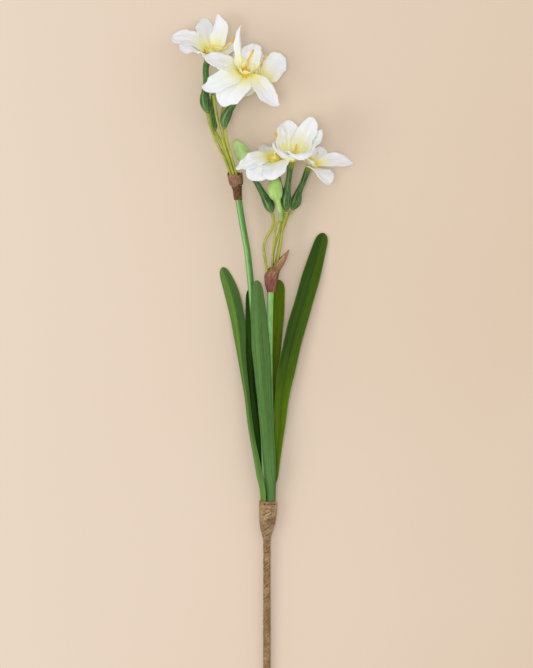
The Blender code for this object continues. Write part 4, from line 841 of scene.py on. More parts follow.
def fine_petal(centre, axis, u, v, p, ns, nt, seed):
    """One cloth petal: the same curve as its plain solid, with a softer outline,
    a pressed middle crease, raised veins, ruffled margins and slight crumpling."""
    q = dict(p)
    look = p.get("look", {})
    g = petal_grid(centre, axis, u, v, q, ns, nt)
    s = np.linspace(0, 1, ns + 1)
    s = 1.0 - (1.0 - s) ** 1.25
    t = np.linspace(-1, 1, nt + 1)
    S, T = np.meshgrid(s, t, indexing="ij")
    mid = g[:, nt // 2:nt // 2 + 1, :]
    # wider and less regular outline than the plain solid
    wide, point = look.get("wide", 1.10), look.get("point", 0.6)
    foot = RING_R * math.sin(HALF_BASE)
    grow = look.get("grow", 0.40)
    k = smoothstep(S / grow) ** 0.8
    u0 = look.get("shoulder", 0.42)
    w = np.clip((S - u0) / (1.0 - u0), 0.0, 1.0)
    fresh = (foot + (wide * p["width"] / 2 - foot) * k) * (1.0 - w ** (2.3 - 0.7 * point)) ** (0.60 + 0.40 * point)
    old = petal_width(np.minimum(S, 0.999), foot, p["width"] / 2)
    gain = np.clip(fresh / np.maximum(old, 1e-6), 0.0, 2.5)
    gain = gain * (1.0 + 0.055 * waves(seed + 1, S * 1.6, np.sign(T) * 0.5, 5, 1.0, 3.0) * smoothstep((S - 0.2) / 0.3))
    g = mid + (g - mid) * gain[..., None]
    # press a middle crease, veins, ruffled margins and crumples into the petal along its normal
    dt = np.gradient(g, axis=1)
    ds = np.gradient(g, axis=0)
    n = np.cross(dt, ds)
    ln = np.linalg.norm(n, axis=2, keepdims=True)
    n = n / np.maximum(ln, 1e-9)
    n[-1] = n[-2, nt // 2]
    rim = np.abs(T) ** 2.2
    live = smoothstep((S - 0.10) / 0.25)
    d = -look.get("crease", 0.45) * np.exp(-(T / 0.10) ** 2) * live * (1 - smoothstep((S - 0.75) / 0.25))
    fan = T * look.get("ribs", 5.0) + 0.35 * waves(seed + 2, S * 0.8, T * 0.5, 4, 0.5, 1.5)
    d += look.get("vein", 0.17) * np.cos(2 * math.pi * fan) * live * (1 - 0.5 * smoothstep((S - 0.7) / 0.3))
    ruffle = look.get("ruffle", 0.9)
    side = np.where(T < 0, 1.0, -1.0)
    d += (ruffle * rim * smoothstep((S - 0.25) / 0.35)
          * np.sin(2 * math.pi * (S * look.get("frill", 2.3) + 0.17 * side) + seed)
          * (0.7 + 0.5 * waves(seed + 3, S * 1.5, side * 0.3, 3, 0.8, 2.0)))
    d += look.get("crumple", 0.65) * waves(seed + 4, S * 1.2, T * 0.55, 7, 0.7, 2.6) * live
    g = g + n * d[..., None]
    # small nicks in the free margin
    nick = 0.35 * rim * smoothstep((S - 0.35) / 0.3) * waves(seed + 5, S * 5.0, side, 4, 1.0, 3.0)
    g = g + dt / np.maximum(np.linalg.norm(dt, axis=2, keepdims=True), 1e-9) * (np.sign(T) * nick)[..., None]
    for extra in look.get("bends", ()):
        # extra = (from s, to s, x, y, z) moves the outer part of the petal
        g = g + smoothstep((S - extra[0]) / (extra[1] - extra[0]))[..., None] * np.array(extra[2:5])
    return g, np.stack([(T + 1) / 2, S], axis=-1)


def fine_layer(base, axis, lift, petals, ns=26, nt=18, seed=0):
    a, u, v = flower_frame(base, axis)
    centre = np.asarray(base, float) + a * lift
    petals = sorted(petals, key=lambda q: q["phi"])
    verts, uvs, faces, angles, owner = [], [], [], [], []
    for i, p in enumerate(petals):
        phi = math.radians(p["phi"])
        nxt = math.radians(petals[(i + 1) % len(petals)]["phi"]) + (2 * math.pi if i + 1 == len(petals) else 0)
        for tj in np.linspace(-1, 1, nt + 1):
            angles.append(phi + tj * HALF_BASE)
            owner.append(i)
        lo, hi = phi + HALF_BASE, nxt - HALF_BASE
        for f in (0.25, 0.5, 0.75):
            angles.append(lo + (hi - lo) * f)
            owner.append(-1)
    n = len(angles)
    for r in (RING_HOLE, RING_R * 0.6, RING_R):
        for g in angles:
            verts.append(centre + r * (math.cos(g) * u + math.sin(g) * v))
            uvs.append((0.5, 0.0))
    for ring in range(2):
        for k in range(n):
            d = (k + 1) % n
            o = ring * n
            faces.append((o + k, o + n + k, o + n + d, o + d))
    for i, p in enumerate(petals):
        g, w = fine_petal(centre, a, u, v, p, ns, nt, seed + 17 * i)
        row = [2 * n + k for k in range(n) if owner[k] == i]
        for j, k in enumerate(row):
            uvs[k] = tuple(w[0, j])
        for r in range(1, ns):
            new = list(range(len(verts), len(verts) + nt + 1))
            verts.extend(g[r])
            uvs.extend(w[r])
            for c in range(nt):
                faces.append((row[c], new[c], new[c + 1], row[c + 1]))
            row = new
        verts.append(g[ns, nt // 2])
        uvs.append((0.5, 1.0))
        t = len(verts) - 1
        for c in range(nt):
            faces.append((row[c], t, row[c + 1]))
    verts = np.array(verts, float)
    verts[:, 2] = np.maximum(verts[:, 2], 0.25)
    return verts, faces, uvs


def fine_corona(base, axis, lift, floor_r, rim_r, height, seed, lobes=6, around=96, rows=14, depth=0.30):
    """Small cup with a frilled, split rim."""
    a, u, v = flower_frame(base, axis)
    c = np.asarray(base, float) + a * lift
    prof = [(RING_HOLE, 0.0), (floor_r * 0.6, 0.0), (floor_r * 0.95, 0.05)]
    for k in range(1, rows):
        f = k / (rows - 1)
        prof.append((floor_r + (rim_r - floor_r) * f ** 1.5, height * f))
    total = len(prof)
    verts, uvs = [], []
    for i, (r, h) in enumerate(prof):
        f = max(0.0, (i - 2) / (total - 3))
        for k in range(around):
            g = 2 * math.pi * k / around
            lobe = abs(math.cos(lobes * g / 2 + seed)) ** 0.6
            rr = r + f * (0.45 * math.cos(lobes * g + 2 * seed) + 0.28 * math.sin(15 * g + seed)
                          + 0.14 * math.sin(29 * g + 2 * seed)) * f
            hh = h * (1 - depth * f * (1 - lobe) * 1.6 + 0.05 * f * math.sin(11 * g + seed))
            verts.append(c + rr * (math.cos(g) * u + math.sin(g) * v) + a * hh)
            uvs.append((k / around, f))
    faces = grid_faces(total, around, closed=True)
    return np.array(verts), faces, uvs


PETAL_CLOTH = 0.42
# how far the yellow runs out, against the other flowers
THROATS = {"lower_left": 0.80, "lower_centre": 1.22, "lower_right": 0.66}
# floor radius, rim radius, height and depth of the splits of each small cup
CROWNS = {"upper_left": (4.4, 5.2, 0.9, 0.25), "upper_front": (4.4, 6.9, 6.2, 0.42), "upper_right": (4.3, 5.6, 3.6, 0.35),
          "lower_left": (4.0, 4.7, 0.30, 0.2), "lower_centre": (4.2, 5.0, 0.6, 0.2), "lower_right": (4.0, 4.7, 0.30, 0.2)}


def build_flower(name, d, index):
    axis, base = unit(d["axis"]), np.array(d["tube"][-1], float)
    throat, tint = d.get("throat", 1.0) * THROATS.get(name, 1.0), d.get("tint", 1.0)
    for layer, lift, off in (("outer", OUTER_LIFT, 0), ("inner", INNER_LIFT, 400)):
        petals = [dict(q, look=LOOKS.get((name, q["phi"]), {})) for q in d[layer]]
        v, f, uv = fine_layer(base, axis, lift, petals, seed=1000 * index + off)
        mat = petal_finish("%s_%s_cloth" % (name, layer), throat, tint, seed=index * 3.1 + off * 0.01)
        publish("%s_cloth_%s" % (name, layer), v, f, uv, mat,
                ["%s_petals_%s" % (name, layer)], thick=PETAL_CLOTH)
    floor_r, rim_r, height, depth = CROWNS[name]
    v, f, uv = fine_corona(base, axis, CORONA_LIFT, floor_r, rim_r, height, seed=0.7 * index, depth=depth)
    publish(name + "_crown", v, f, uv, CORONA if height > 2.0 else CORONA_FLAT, [name + "_corona"], thick=0.4)
    # pistil
    pts = spline([base + axis * 4.30, base + axis * 7.0] + list(d["style"]), 46)
    path = [base + axis * 0.35, base + axis * 2.2, base + axis * 3.10, base + axis * 3.25,
            base + axis * 3.5, base + axis * 3.75, base + axis * 3.95]
    radii = [0.85, 0.85, 0.9, 2.6, 3.2, 3.1, 1.6]
    path += list(pts)
    k = np.linspace(0, 1, len(pts))
    rod = 0.86 + 0.10 * np.sin(k * 21 + index) + 0.10 * np.sin(k * 47 + 2 * index) + 0.22 * smoothstep((k - 0.82) / 0.12)
    rod *= np.where(k > 0.975, 0.55, 1.0)
    rod *= {"lower_centre": 0.78, "lower_right": 0.66, "upper_front": 1.08}.get(name, 1.0)
    rod[0] = 1.1
    radii += list(rod)
    radii = np.array(radii)
    path = np.array(path)
    arc = np.concatenate([[0.0], np.cumsum(np.linalg.norm(np.diff(path, axis=0), axis=1))])
    arc /= arc[-1]

    def law(S, G):
        r = np.interp(S, arc, radii)
        return r * (1 + 0.06 * np.sin(3 * G + 60 * S) + 0.05 * np.sin(5 * G - 130 * S))
    v, f, uv = loft(path, law, 14)
    pale = {"upper_left": (0.48, 0.60, 0.96), "upper_front": (0.0, 0.12, 0.3), "upper_right": (0.50, 0.64, 0.96),
            "lower_left": (0.35, 0.50, 0.96), "lower_centre": (0.20, 0.34, 0.85), "lower_right": (0.60, 1.30, 0.92)}[name]
    publish(name + "_style", v, f, uv, pistil_finish(name + "_style", pale), [name + "_pistil"])
    fine_tube(name + "_throat_tube", name + "_tube", d["tube"], axis, TUBE_PROFILE, index)


def fine_tube(name, node, points, axis, profile, index, ribs=5):
    path = spline(tube_path(points, axis), at=end_stations(64))
    knots = np.array(profile)

    def law(S, G):
        r = smooth_interp(S, knots)
        bulb = smoothstep((S - 0.02) / 0.08) * (1 - smoothstep((S - 0.30) / 0.15))
        r = r * (1 + 0.035 * bulb * np.cos(3 * G + index) + 0.018 * np.cos(ribs * G + index))
        r = r * (1 + 0.02 * np.sin(9 * S + index))
        cap = np.minimum(1.0, np.sqrt(np.clip(S / 0.012, 0.02, 1.0)))
        return r * cap
    v, f, uv = loft(path, law, 28)
    publish(name, v, f, uv, TUBE, [node])


# ------------------------------------------------------------------ materials
CORONA = corona_finish("corona_cloth", 1.0)
CORONA_FLAT = corona_finish("corona_flat_cloth", 0.15)
TUBE = moulded_green("tube_plastic", srgb(28, 66, 24), srgb(72, 116, 52), srgb(136, 168, 98), ribs=9, rough=0.38,
                     streak=0.70, mottle=150.0, bands=[(0.95, 0.17, srgb(134, 146, 44), 0.9), (0.0, 0.06, srgb(134, 150, 66), 0.8)])
PEDICEL = moulded_green("pedicel_plastic", srgb(138, 146, 34), srgb(172, 176, 58), srgb(202, 204, 110), ribs=6, rough=0.42,
                        streak=0.7, mottle=110.0)
BUD_LARGE = moulded_green("bud_plastic", srgb(162, 204, 112), srgb(196, 228, 150), srgb(216, 238, 178), ribs=7, rough=0.46,
                          streak=0.5, mottle=110.0, bands=[(0.0, 0.10, srgb(96, 130, 60), 0.8)])
BUD_SMALL = moulded_green("bud_small_plastic", srgb(150, 190, 98), srgb(178, 214, 124), srgb(204, 230, 156), ribs=6, rough=0.46,
                          streak=0.45, mottle=150.0, bands=[(0.06, 0.30, srgb(140, 168, 98), 0.75), (1.0, 0.12, srgb(118, 160, 76), 0.8)])
# both stems and the handle's core carry a painted highlight band on their upper left side
SCAPE = moulded_green("scape_plastic", srgb(62, 110, 42), srgb(86, 138, 58), srgb(116, 170, 86), ribs=9, rough=0.34,
                      streak=0.75, mottle=60.0, spec=0.34, painted_highlight=(0.35, 0.10, srgb(156, 206, 128), 0.75))
SCAPE2 = moulded_green("scape_short_plastic", srgb(108, 162, 76), srgb(134, 188, 100), srgb(168, 214, 138), ribs=9, rough=0.34,
                       streak=0.75, mottle=60.0, spec=0.34, painted_highlight=(0.36, 0.10, srgb(186, 222, 160), 0.65),
                       bands=[(3.6, 2.6, srgb(84, 130, 58), 0.85)])
# each leaf's left and right greens are painted light and shade on the two halves of its folded blade
LEAF_LOOKS = {
    "leaf_left": dict(left=srgb(90, 124, 44), right=srgb(72, 106, 46), low=srgb(100, 138, 58), edge=srgb(126, 156, 84), groove_shade=0.7),
    "leaf_front": dict(left=srgb(78, 116, 52), right=srgb(71, 106, 46), low=srgb(92, 128, 66), edge=srgb(46, 76, 26), groove_shade=0.10,
                       reach=(0.12, 0.40), rolled_edge_shade=0.75),
    "leaf_right": dict(left=srgb(49, 75, 19), right=srgb(62, 89, 12), low=srgb(94, 125, 0), edge=srgb(130, 150, 66), groove_shade=0.80,
                       spec=0.07, reach=(0.26, 0.62)),
    # this leaf's greens are near black: painted shade for the gap between the other leaves that it lies in
    "leaf_left_back": dict(left=srgb(36, 68, 6), right=srgb(14, 36, 2), low=srgb(18, 42, 4), edge=srgb(60, 86, 36), groove_shade=0.3, spec=0.05),
    "leaf_right_back": dict(left=srgb(88, 112, 2), right=srgb(80, 102, 2), low=srgb(42, 68, 2), edge=srgb(116, 136, 56), groove_shade=0.5, spec=0.05),
}
SPATHE = paper_finish("spathe_paper", srgb(156, 110, 86), srgb(186, 144, 112), srgb(96, 62, 44), (900.0, 200.0, 900.0), 300.0,
                      foot=srgb(92, 66, 36), foot_at=0.50, foot_soft=0.02, wear_and_shade=0.8)
SPATHE2 = paper_finish("spathe_short_paper", srgb(158, 118, 84), srgb(196, 158, 116), srgb(112, 72, 50), (900.0, 200.0, 900.0), 300.0,
                       foot=srgb(134, 82, 72), foot_at=0.44, foot_soft=0.12, wear_and_shade=0.75)
TAPE = paper_finish("handle_paper", srgb(158, 126, 84), srgb(188, 156, 112), srgb(116, 86, 52), (500.0, 160.0, 500.0), 380.0, fine=800.0, wear_and_shade=0.8)
TAPE2 = paper_finish("collar_paper", srgb(164, 134, 96), srgb(196, 166, 126), srgb(118, 88, 58), (300.0, 300.0, 300.0), 330.0, fine=620.0, wear_and_shade=0.8)


# ------------------------------------------------------------------- building


def build_leaf(name, d):
    st = np.array(d["stations"], float)
    foot_y = 184.5
    c = np.vstack([[st[0][0], foot_y, st[0][2], st[0][3]], st])
    length = np.sum(np.linalg.norm(np.diff(c[:, :3], axis=0), axis=1))
    near_tip = 1.0 - (np.linspace(1, 0, 14) ** 1.7) * 11.0 / length
    at = np.concatenate([np.linspace(0.0, near_tip[0], 90)[:-1], near_tip])
    ns, nt = len(at) - 1, 20
    pts = spline(c, at=at)
    cen, wid = pts[:, :3], pts[:, 3]
    run = np.linalg.norm(cen - cen[-1], axis=1)
    full = np.interp(6.0, run[::-1], wid[::-1])
    tan = tangents(cen)
    t = np.linspace(-1, 1, nt + 1)
    seed = sum(ord(ch) for ch in name)
    verts, uvs = [], []
    fold = d["fold"]
    round_fold = 0.15 if name == "leaf_front" else 0.006
    for i in range(ns + 1):
        b = unit(np.array([tan[i][1], -tan[i][0], 0.0]))
        n = np.cross(b, tan[i])
        half = wid[i] / 2
        near = run[i] / 9.0
        if near < 1.0:
            half = max(half, full / 2) * math.sqrt(max(0.0, 1 - (1 - near)**2.2))
        y = cen[i][1]
        ease = float(smoothstep((y - 200.0) / 60.0))
        ang = math.radians(fold) * ease
        soft = np.sqrt(t * t + round_fold) - math.sqrt(round_fold)
        curl = 0.10 * ease * np.sign(fold) * half * np.clip(np.abs(t) - 0.6, 0, 1) ** 1.5 * -1.0
        wob = 0.30 * ease * waves(seed, np.full(nt + 1, at[i] * 3.0), t * 0.3, 4, 0.5, 1.6) * np.abs(t)
        ribs = 0.045 * np.cos(2 * math.pi * t * 4.5) * ease * min(1.0, run[i] / 20.0)
        blade = (cen[i] + np.outer(half * t * math.cos(ang) * (1 + 0.02 * math.sin(at[i] * 37 + seed)), b)
                 + np.outer(soft * half * math.sin(ang) + curl + wob + ribs, n))
        a0, a1 = np.radians(d["clasp"][0]), np.radians(d["clasp"][1])
        g = a0 + (a1 - a0) * (t + 1) / 2
        cx = np.interp(y, [q[0] for q in COLLAR_PROFILE], [q[1] for q in COLLAR_PROFILE])
        clasp = np.stack([cx + LEAF_CLASP * np.cos(g), np.full(nt + 1, y),
                          handle_z(y) + LEAF_CLASP * np.sin(g)], axis=1)
        w = float(smoothstep((y - 194.5) / 22.0))
        verts.extend(clasp * (1 - w) + blade * w)
        uvs.extend([((q + 1) / 2, at[i]) for q in t])
    faces, cols = [], nt + 1
    for r in range(ns):
        for k in range(nt):
            p, q = r * cols + k, (r + 1) * cols + k
            faces.append((p, p + 1, q + 1, q))
    verts = np.array(verts)
    verts[:, 2] = np.maximum(verts[:, 2], 0.40)
    look = LEAF_LOOKS[name]
    publish(name + "_blade", verts, faces, uvs, leaf_finish(name + "_plastic", **look), [name], thick=0.72)


def build_spathe(name, node, rows, mid, cols, material, seed, thick=0.35, ragged=1.6, crumple=0.34, skirt=None):
    """Crinkled sheath: rows of (y, x, z, radius, half angle, lean)."""
    k = np.array(rows, float)
    s = np.linspace(0, 1, len(k))
    fine = np.linspace(0, 1, 70)
    r = np.stack([np.interp(fine, s, k[:, c]) if c == 4 else smooth_interp(fine, np.stack([s, k[:, c]], axis=1))
                  for c in range(k.shape[1])], axis=1)
    verts, uvs, marks = [], [], []
    for i, (y, x, z, rad, half, lean) in enumerate(r):
        t = np.linspace(-1, 1, cols)
        g = np.radians(mid + t * half)
        d = crumple * waves(seed, np.full(cols, fine[i] * 1.4), t * 1.6, 9, 0.8, 3.2)
        d += 0.12 * np.cos(t * 34 + 3 * fine[i]) + 0.13 * waves(seed + 9, np.full(cols, fine[i] * 4.0), t * 4.0, 8, 1.0, 2.5)
        if skirt is not None:
            # narrow wrinkled band below, a loose outer layer above
            at = skirt + np.minimum(3.0, 2.4 * ((t - 0.25) / 0.30) ** 2) + 0.3 * waves(seed + 11, t * 2.5, np.zeros(cols), 4, 0.6, 1.6)
            above = smoothstep((y - at) / 0.45)
            d += 0.55 * above - (1 - above) * (0.25 + 0.20 * np.sin(y * 3.1 + 2.0 * t) + 0.12 * np.sin(y * 5.3 - 5 * t))
        edge = ragged * waves(seed + 5, t * 3.0, np.zeros(cols), 6, 0.6, 2.6) * smoothstep((fine[i] - 0.72) / 0.28)
        rr = rad + d * min(1.0, rad / 3.0)
        rr = rr + 0.35 * t * 0.8
        verts.extend(np.stack([x + rr * np.cos(g), y - lean * np.sin(g) + edge, z + rr * np.sin(g)], axis=1))
        streak = waves(seed + 21, np.full(cols, fine[i] * 2.2), t * 7.0, 9, 0.7, 2.2)
        cross = waves(seed + 23, np.full(cols, y / 2.6), t * 3.0, 9, 0.7, 2.2)
        if skirt is not None:
            low = np.clip((y - r[0][0]) / (at - r[0][0]), 0, 1) * 0.5 + np.clip((y - at) / (r[-1][0] - at), 0, 1) * 0.5
            # painted shade: a dark line just below the lower edge of the loose outer layer
            shade_line = np.exp(-((y - at + 0.2) / 0.35) ** 2)
            rough_part = 1 - above
            black = 0.10 + 0.5 * shade_line + rough_part * 0.75 * np.clip(-cross, 0, 1) + 0.35 * np.clip(-streak, 0, 1)
            white = (rough_part * 1.1 * np.clip(cross, 0, 1) + 0.30 * np.clip(streak, 0, 1)
                     + 0.5 * smoothstep((fine[i] - 0.86) / 0.10))
            uvs.extend([((q + 1) / 2, w) for q, w in zip(t, low)])
        else:
            rim = np.maximum(smoothstep((fine[i] - 0.93) / 0.06), 0.62 * smoothstep((fine[i] - 0.55) / 0.35)) * np.ones(cols)
            black = 0.08 + 0.80 * np.clip(-streak, 0, 1) * (1 - 0.6 * rim) + 0.35 * np.clip(-cross, 0, 1)
            white = 0.95 * rim + 0.65 * np.clip(streak, 0, 1) * smoothstep((0.75 - fine[i]) / 0.3)
            uvs.extend([((q + 1) / 2, fine[i]) for q in t])
        marks.extend(np.stack([np.clip(black, 0, 1), np.clip(white, 0, 1)], axis=1))
    faces = []
    for a in range(len(r) - 1):
        for c in range(cols - 1):
            p, q = a * cols + c, (a + 1) * cols + c
            faces.append((p, p + 1, q + 1, q))
    publish(name, np.array(verts), faces, uvs, material, [node], thick=thick, marks=marks)


# folds pressed in the collar's front: ends in plan, depth, half width, how dark (painted shade in the fold), how pale
# its crest (painted highlight)
COLLAR_FOLDS = [
    (-2.6, 182.6, 2.2, 185.2, 0.40, 0.55, 0.85, 1.0), (-0.6, 181.2, 4.0, 183.0, 0.30, 0.55, 0.35, 1.0),
    (-3.2, 179.6, -2.2, 182.6, 0.25, 0.6, 0.45, 0.3), (-1.4, 187.4, 6.2, 187.8, 0.20, 0.6, 0.30, 0.25),
    (5.8, 185.0, 6.6, 190.0, 0.20, 0.5, 0.35, 0.7), (0.6, 177.6, 4.0, 178.6, 0.30, 1.5, 0.40, 0.0),
    (2.4, 174.4, 5.6, 176.2, 0.25, 0.6, 0.60, 0.3), (-2.4, 169.2, 1.8, 172.2, 0.42, 0.60, 0.90, 0.6),
    (1.6, 170.4, 3.6, 171.6, 0.30, 0.5, 0.7, 0.2), (-1.6, 164.6, 2.2, 166.4, 0.38, 0.50, 0.95, 0.7),
    (-0.6, 162.2, 2.0, 163.2, 0.25, 0.45, 0.45, 0.9), (-2.0, 160.6, 0.6, 161.2, 0.22, 0.4, 0.6, 0.4),
    (-3.6, 173.4, -1.6, 175.2, 0.18, 0.5, 0.35, 0.4)]


def folds_at(x, y, up, table):
    """Depth, darkness and paleness of a set of straight folds at plan points: the darkness is painted shade in each
    fold, the paleness a painted highlight on its crest.
    """
    deep, dark, pale = np.zeros(x.shape), np.zeros(x.shape), np.zeros(x.shape)
    for x0, y0, x1, y1, depth, width, black, white in table:
        dx, dy = x1 - x0, y1 - y0
        long = dx * dx + dy * dy
        k = np.clip(((x - x0) * dx + (y - y0) * dy) / long, 0, 1)
        d = np.hypot(x - x0 - k * dx, y - y0 - k * dy)
        e = np.exp(-(d / width) ** 2) * up
        side = ((y - y0) * dx - (x - x0) * dy) / math.sqrt(long)
        crest = np.exp(-((side + 1.5 * width) / (0.8 * width)) ** 2 - ((d - 1.5 * width) / (1.2 * width)) ** 2) * up
        deep += depth * e - 0.6 * depth * crest
        dark = np.maximum(dark, black * e)
        pale = np.maximum(pale, white * crest)
    return deep, dark, pale


def build_handle():
    seg, pitch = 48, 10.5
    ys = np.arange(0.0, 158.95, 0.42)
    ys[-1] = 158.7
    verts, uvs, marks = [], [], []
    g = 2 * math.pi * np.arange(seg) / seg
    rng = np.random.default_rng(77)
    lips = rng.uniform(0.05, 1.0, 64) ** 1.3
    # folds on the handle's front, in the collar's columns: darkness is painted shade in each fold, paleness a painted
    # highlight on its crest
    fronts = [(-2.8, 150.6, 2.8, 150.9, 0.25, 0.35, 0.9, 0.3), (-1.8, 133.2, 0.8, 135.6, 0.25, 0.45, 0.5, 0.7),
              (-2.4, 139.0, 1.2, 142.0, 0.18, 0.5, 0.4, 0.6), (0.4, 130.0, 2.6, 131.8, 0.2, 0.4, 0.6, 0.4),
              (-2.8, 119.4, -0.4, 121.8, 0.30, 0.40, 0.9, 0.5), (-1.6, 90.6, 1.4, 93.4, 0.30, 0.45, 0.95, 0.7),
              (-0.4, 108.0, 2.2, 110.0, 0.18, 0.5, 0.4, 0.5), (-2.0, 76.0, 0.8, 78.4, 0.18, 0.45, 0.4, 0.4)]
    for y in ys:
        phase = y / pitch + g / (2 * math.pi)
        turn, k = phase % 1.0, np.floor(phase).astype(int) % 64
        strong = lips[k] * (0.55 + 0.45 * np.sin(2.0 * g + 1.7 * k))
        r = TAPE_OUTER - 0.14 + (0.10 + 0.22 * strong) * (1 - turn) ** 1.6
        gap = np.exp(-((turn - 0.97) / 0.035) ** 2)
        r = r - 0.14 * gap * strong
        crepe = np.sin(2 * math.pi * (y + 2.4669 * g) / 3.1 + 1.9 * waves(12, np.full(seg, y / 9.0), np.cos(g) * 0.4, 5, 0.6, 2.0))
        crepe = 0.6 * crepe + 0.6 * waves(14, np.full(seg, (y + 2.4 * g) / 4.0), np.sin(g) * 0.8, 8, 0.7, 2.4)
        r = r + 0.075 * crepe + 0.09 * waves(3, np.full(seg, y / 9.0), g / 3.0, 7, 0.6, 2.4)
        r = r + 0.035 * waves(8, np.full(seg, y / 2.2), g / 2.0, 6, 0.6, 2.4)
        deep, dark, pale = folds_at(r * np.cos(g), np.full(seg, y), smoothstep(np.sin(g) * 3 + 0.5), fronts)
        r = r - deep * 0.8
        verts.extend(np.stack([r * np.cos(g), np.full(seg, y), handle_z(y) + r * np.sin(g)], axis=1))
        uvs.extend([(q / (2 * math.pi), y / 158.7) for q in g])
        # marks: dark at the seams between turns, painted shade in the folds and crepe troughs; pale as painted
        # highlights on fold crests, each turn's raised lip and crepe crests
        part = 0.5 + 0.5 * waves(91, np.full(seg, y / 12.0), g / 3.0, 6, 0.6, 2.4)
        marks.extend(np.stack([np.clip(np.maximum(dark, 0.85 * gap * strong) + 0.80 * part * np.clip(-crepe, 0, 1) + 0.06, 0, 1),
                               np.clip(np.maximum(pale, 0.6 * strong * np.exp(-((turn - 0.05) / 0.05) ** 2))
                                       + 0.34 * part * np.clip(crepe, 0, 1), 0, 1)], axis=1))
    n = len(ys)
    outer = n * seg
    for y in (ys[-1], ys[0]):
        for q in g:
            verts.append((2.45 * math.cos(q), y, handle_z(y) + 2.45 * math.sin(q)))
            uvs.append((q / (2 * math.pi), y / 158.7))
            marks.append((0.3, 0.0))
    faces = [f[::-1] for f in grid_faces(n, seg, closed=True)]
    last = (n - 1) * seg
    for c in range(seg):
        d = (c + 1) % seg
        faces.append((outer + c, last + c, last + d, outer + d))
        faces.append((outer + seg + c, outer + c, outer + d, outer + seg + d))
        faces.append((c, outer + seg + c, outer + seg + d, d))
    verts = np.array(verts)
    verts[:, 2] = np.maximum(verts[:, 2], 0.0)
    publish("handle_tape", verts, faces, uvs, TAPE, ["handle_wrap"], marks=marks)
    path = [(0, y, handle_z(y)) for y in np.linspace(0.0, 176.8, 40)]
    v, f, uv = loft(path, lambda S, G: CORE_RADIUS * np.minimum(1, 0.86 + S * 60), 20)
    publish("handle_stem", v, f, uv, SCAPE, ["handle_core"])

    seg = 128
    prof = np.array(COLLAR_PROFILE)
    ys = np.linspace(COLLAR_FOOT, COLLAR_RIM, 104)
    verts, uvs, marks = [], [], []
    g = 2 * math.pi * np.arange(seg) / seg
    for y in ys:
        f = (y - COLLAR_FOOT) / (COLLAR_RIM - COLLAR_FOOT)
        x = smooth_interp(y, prof[:, :2])
        r = smooth_interp(y, prof[:, [0, 2]]) - 0.28
        slant = y * 1.0 - 4.6 * np.cos(g)
        d = 0.0
        for at, deep, wide in ((163.5, 0.20, 0.9), (167.6, 0.26, 0.8), (172.6, 0.26, 1.0), (177.4, 0.12, 0.8), (183.5, 0.18, 0.9)):
            band = (slant - at) / wide
            d = d - deep * np.exp(-band**2) * (0.5 + 0.5 * np.sin(g * 2 + at)) + deep * 0.6 * np.exp(-((slant - at - 1.7) / 1.0) ** 2)
        d = d * (1 - smoothstep((f - 0.82) / 0.12))
        d = d + 0.16 * waves(21, np.full(seg, y / 16.0), np.cos(g) * 0.5 + np.sin(g) * 0.3, 7, 0.6, 2.6) * (1 - 0.5 * f)
        fine = waves(33, np.full(seg, y / 5.0), np.cos(g) * 1.6 + np.sin(g) * 0.9, 9, 0.7, 2.6)
        d = d + 0.07 * fine
        px = x + r * np.cos(g)
        deep, dark, pale = folds_at(px, np.full(seg, y), smoothstep(np.sin(g) * 3 + 0.5), COLLAR_FOLDS)
        d = d - deep
        rr = r + d
        tilt = -0.6 * np.cos(g) * smoothstep((f - 0.8) / 0.2) + 0.25 * smoothstep((f - 0.9) / 0.1) * np.sin(3 * g)
        verts.extend(np.stack([x + rr * np.cos(g), y + tilt, handle_z(y) + rr * np.sin(g)], axis=1))
        uvs.extend([(q / (2 * math.pi), f) for q in g])
        # marks: painted shade in the folds and crinkle hollows, a painted shade band on the right side under the fold
        # at 176.5, darker towards the foot; painted highlights on crests
        shade_under_fold = 0.5 * np.exp(-((slant - 176.5) / 0.5) ** 2) * smoothstep(np.cos(g) * 2)
        near_foot = 0.40 * (1 - smoothstep(f / 0.34)) * (0.6 + 0.8 * np.clip(waves(35, np.full(seg, y / 3.0), np.cos(g) * 1.2, 6, 0.7, 2.0), 0, 1))
        marks.extend(np.stack([np.clip(np.maximum(dark, shade_under_fold) + 0.42 * np.clip(-fine, 0, 1) + 0.05 + near_foot, 0, 1),
                               np.clip(pale + 0.28 * np.clip(fine, 0, 1), 0, 1)], axis=1))
    faces = [f[::-1] for f in grid_faces(len(ys), seg, closed=True)]
    verts = np.array(verts)
    verts[:, 2] = np.maximum(verts[:, 2], 0.22)
    publish("collar_tape", verts, faces, uvs, TAPE2, ["wrap_collar"], thick=0.42, marks=marks)

    pts = []
    for k in range(29):
        q = math.radians(118 - 74 * k / 28)
        pts.append((1.05 + 8.02 * math.cos(q), 191.9, handle_z(191.9) + 8.02 * math.sin(q)))
    v, f, uv = loft(pts, lambda S, G: 0.26 + 0.22 * smoothstep((np.abs(S - 0.5) - 0.38) / 0.06), 12)
    publish("staple_bar", v, f, uv, WIRE, ["collar_staple"])


def wire_finish():
    m = Nodes("staple_steel", rough=0.42, Metallic=0.85)
    pos = m.position()
    wear_and_shade = m.noise(pos, 900.0, 3.0)
    u, v = m.uv()
    # painted shade: both ends go near black where the legs pass into their holes
    hole_shade = m.ramp(m.math("ABSOLUTE", m.math("SUBTRACT", v, 0.5)), [(0.36, 0.0), (0.42, 1.0)])
    colour = m.mix(m.ramp(wear_and_shade, [(0.35, 0.0), (0.65, 1.0)]), srgb(112, 82, 56), srgb(156, 124, 90))
    colour = m.mix(hole_shade, colour, srgb(30, 18, 12))
    return m.done(colour, m.bump(wear_and_shade, 0.3, 0.0001))


WIRE = wire_finish()


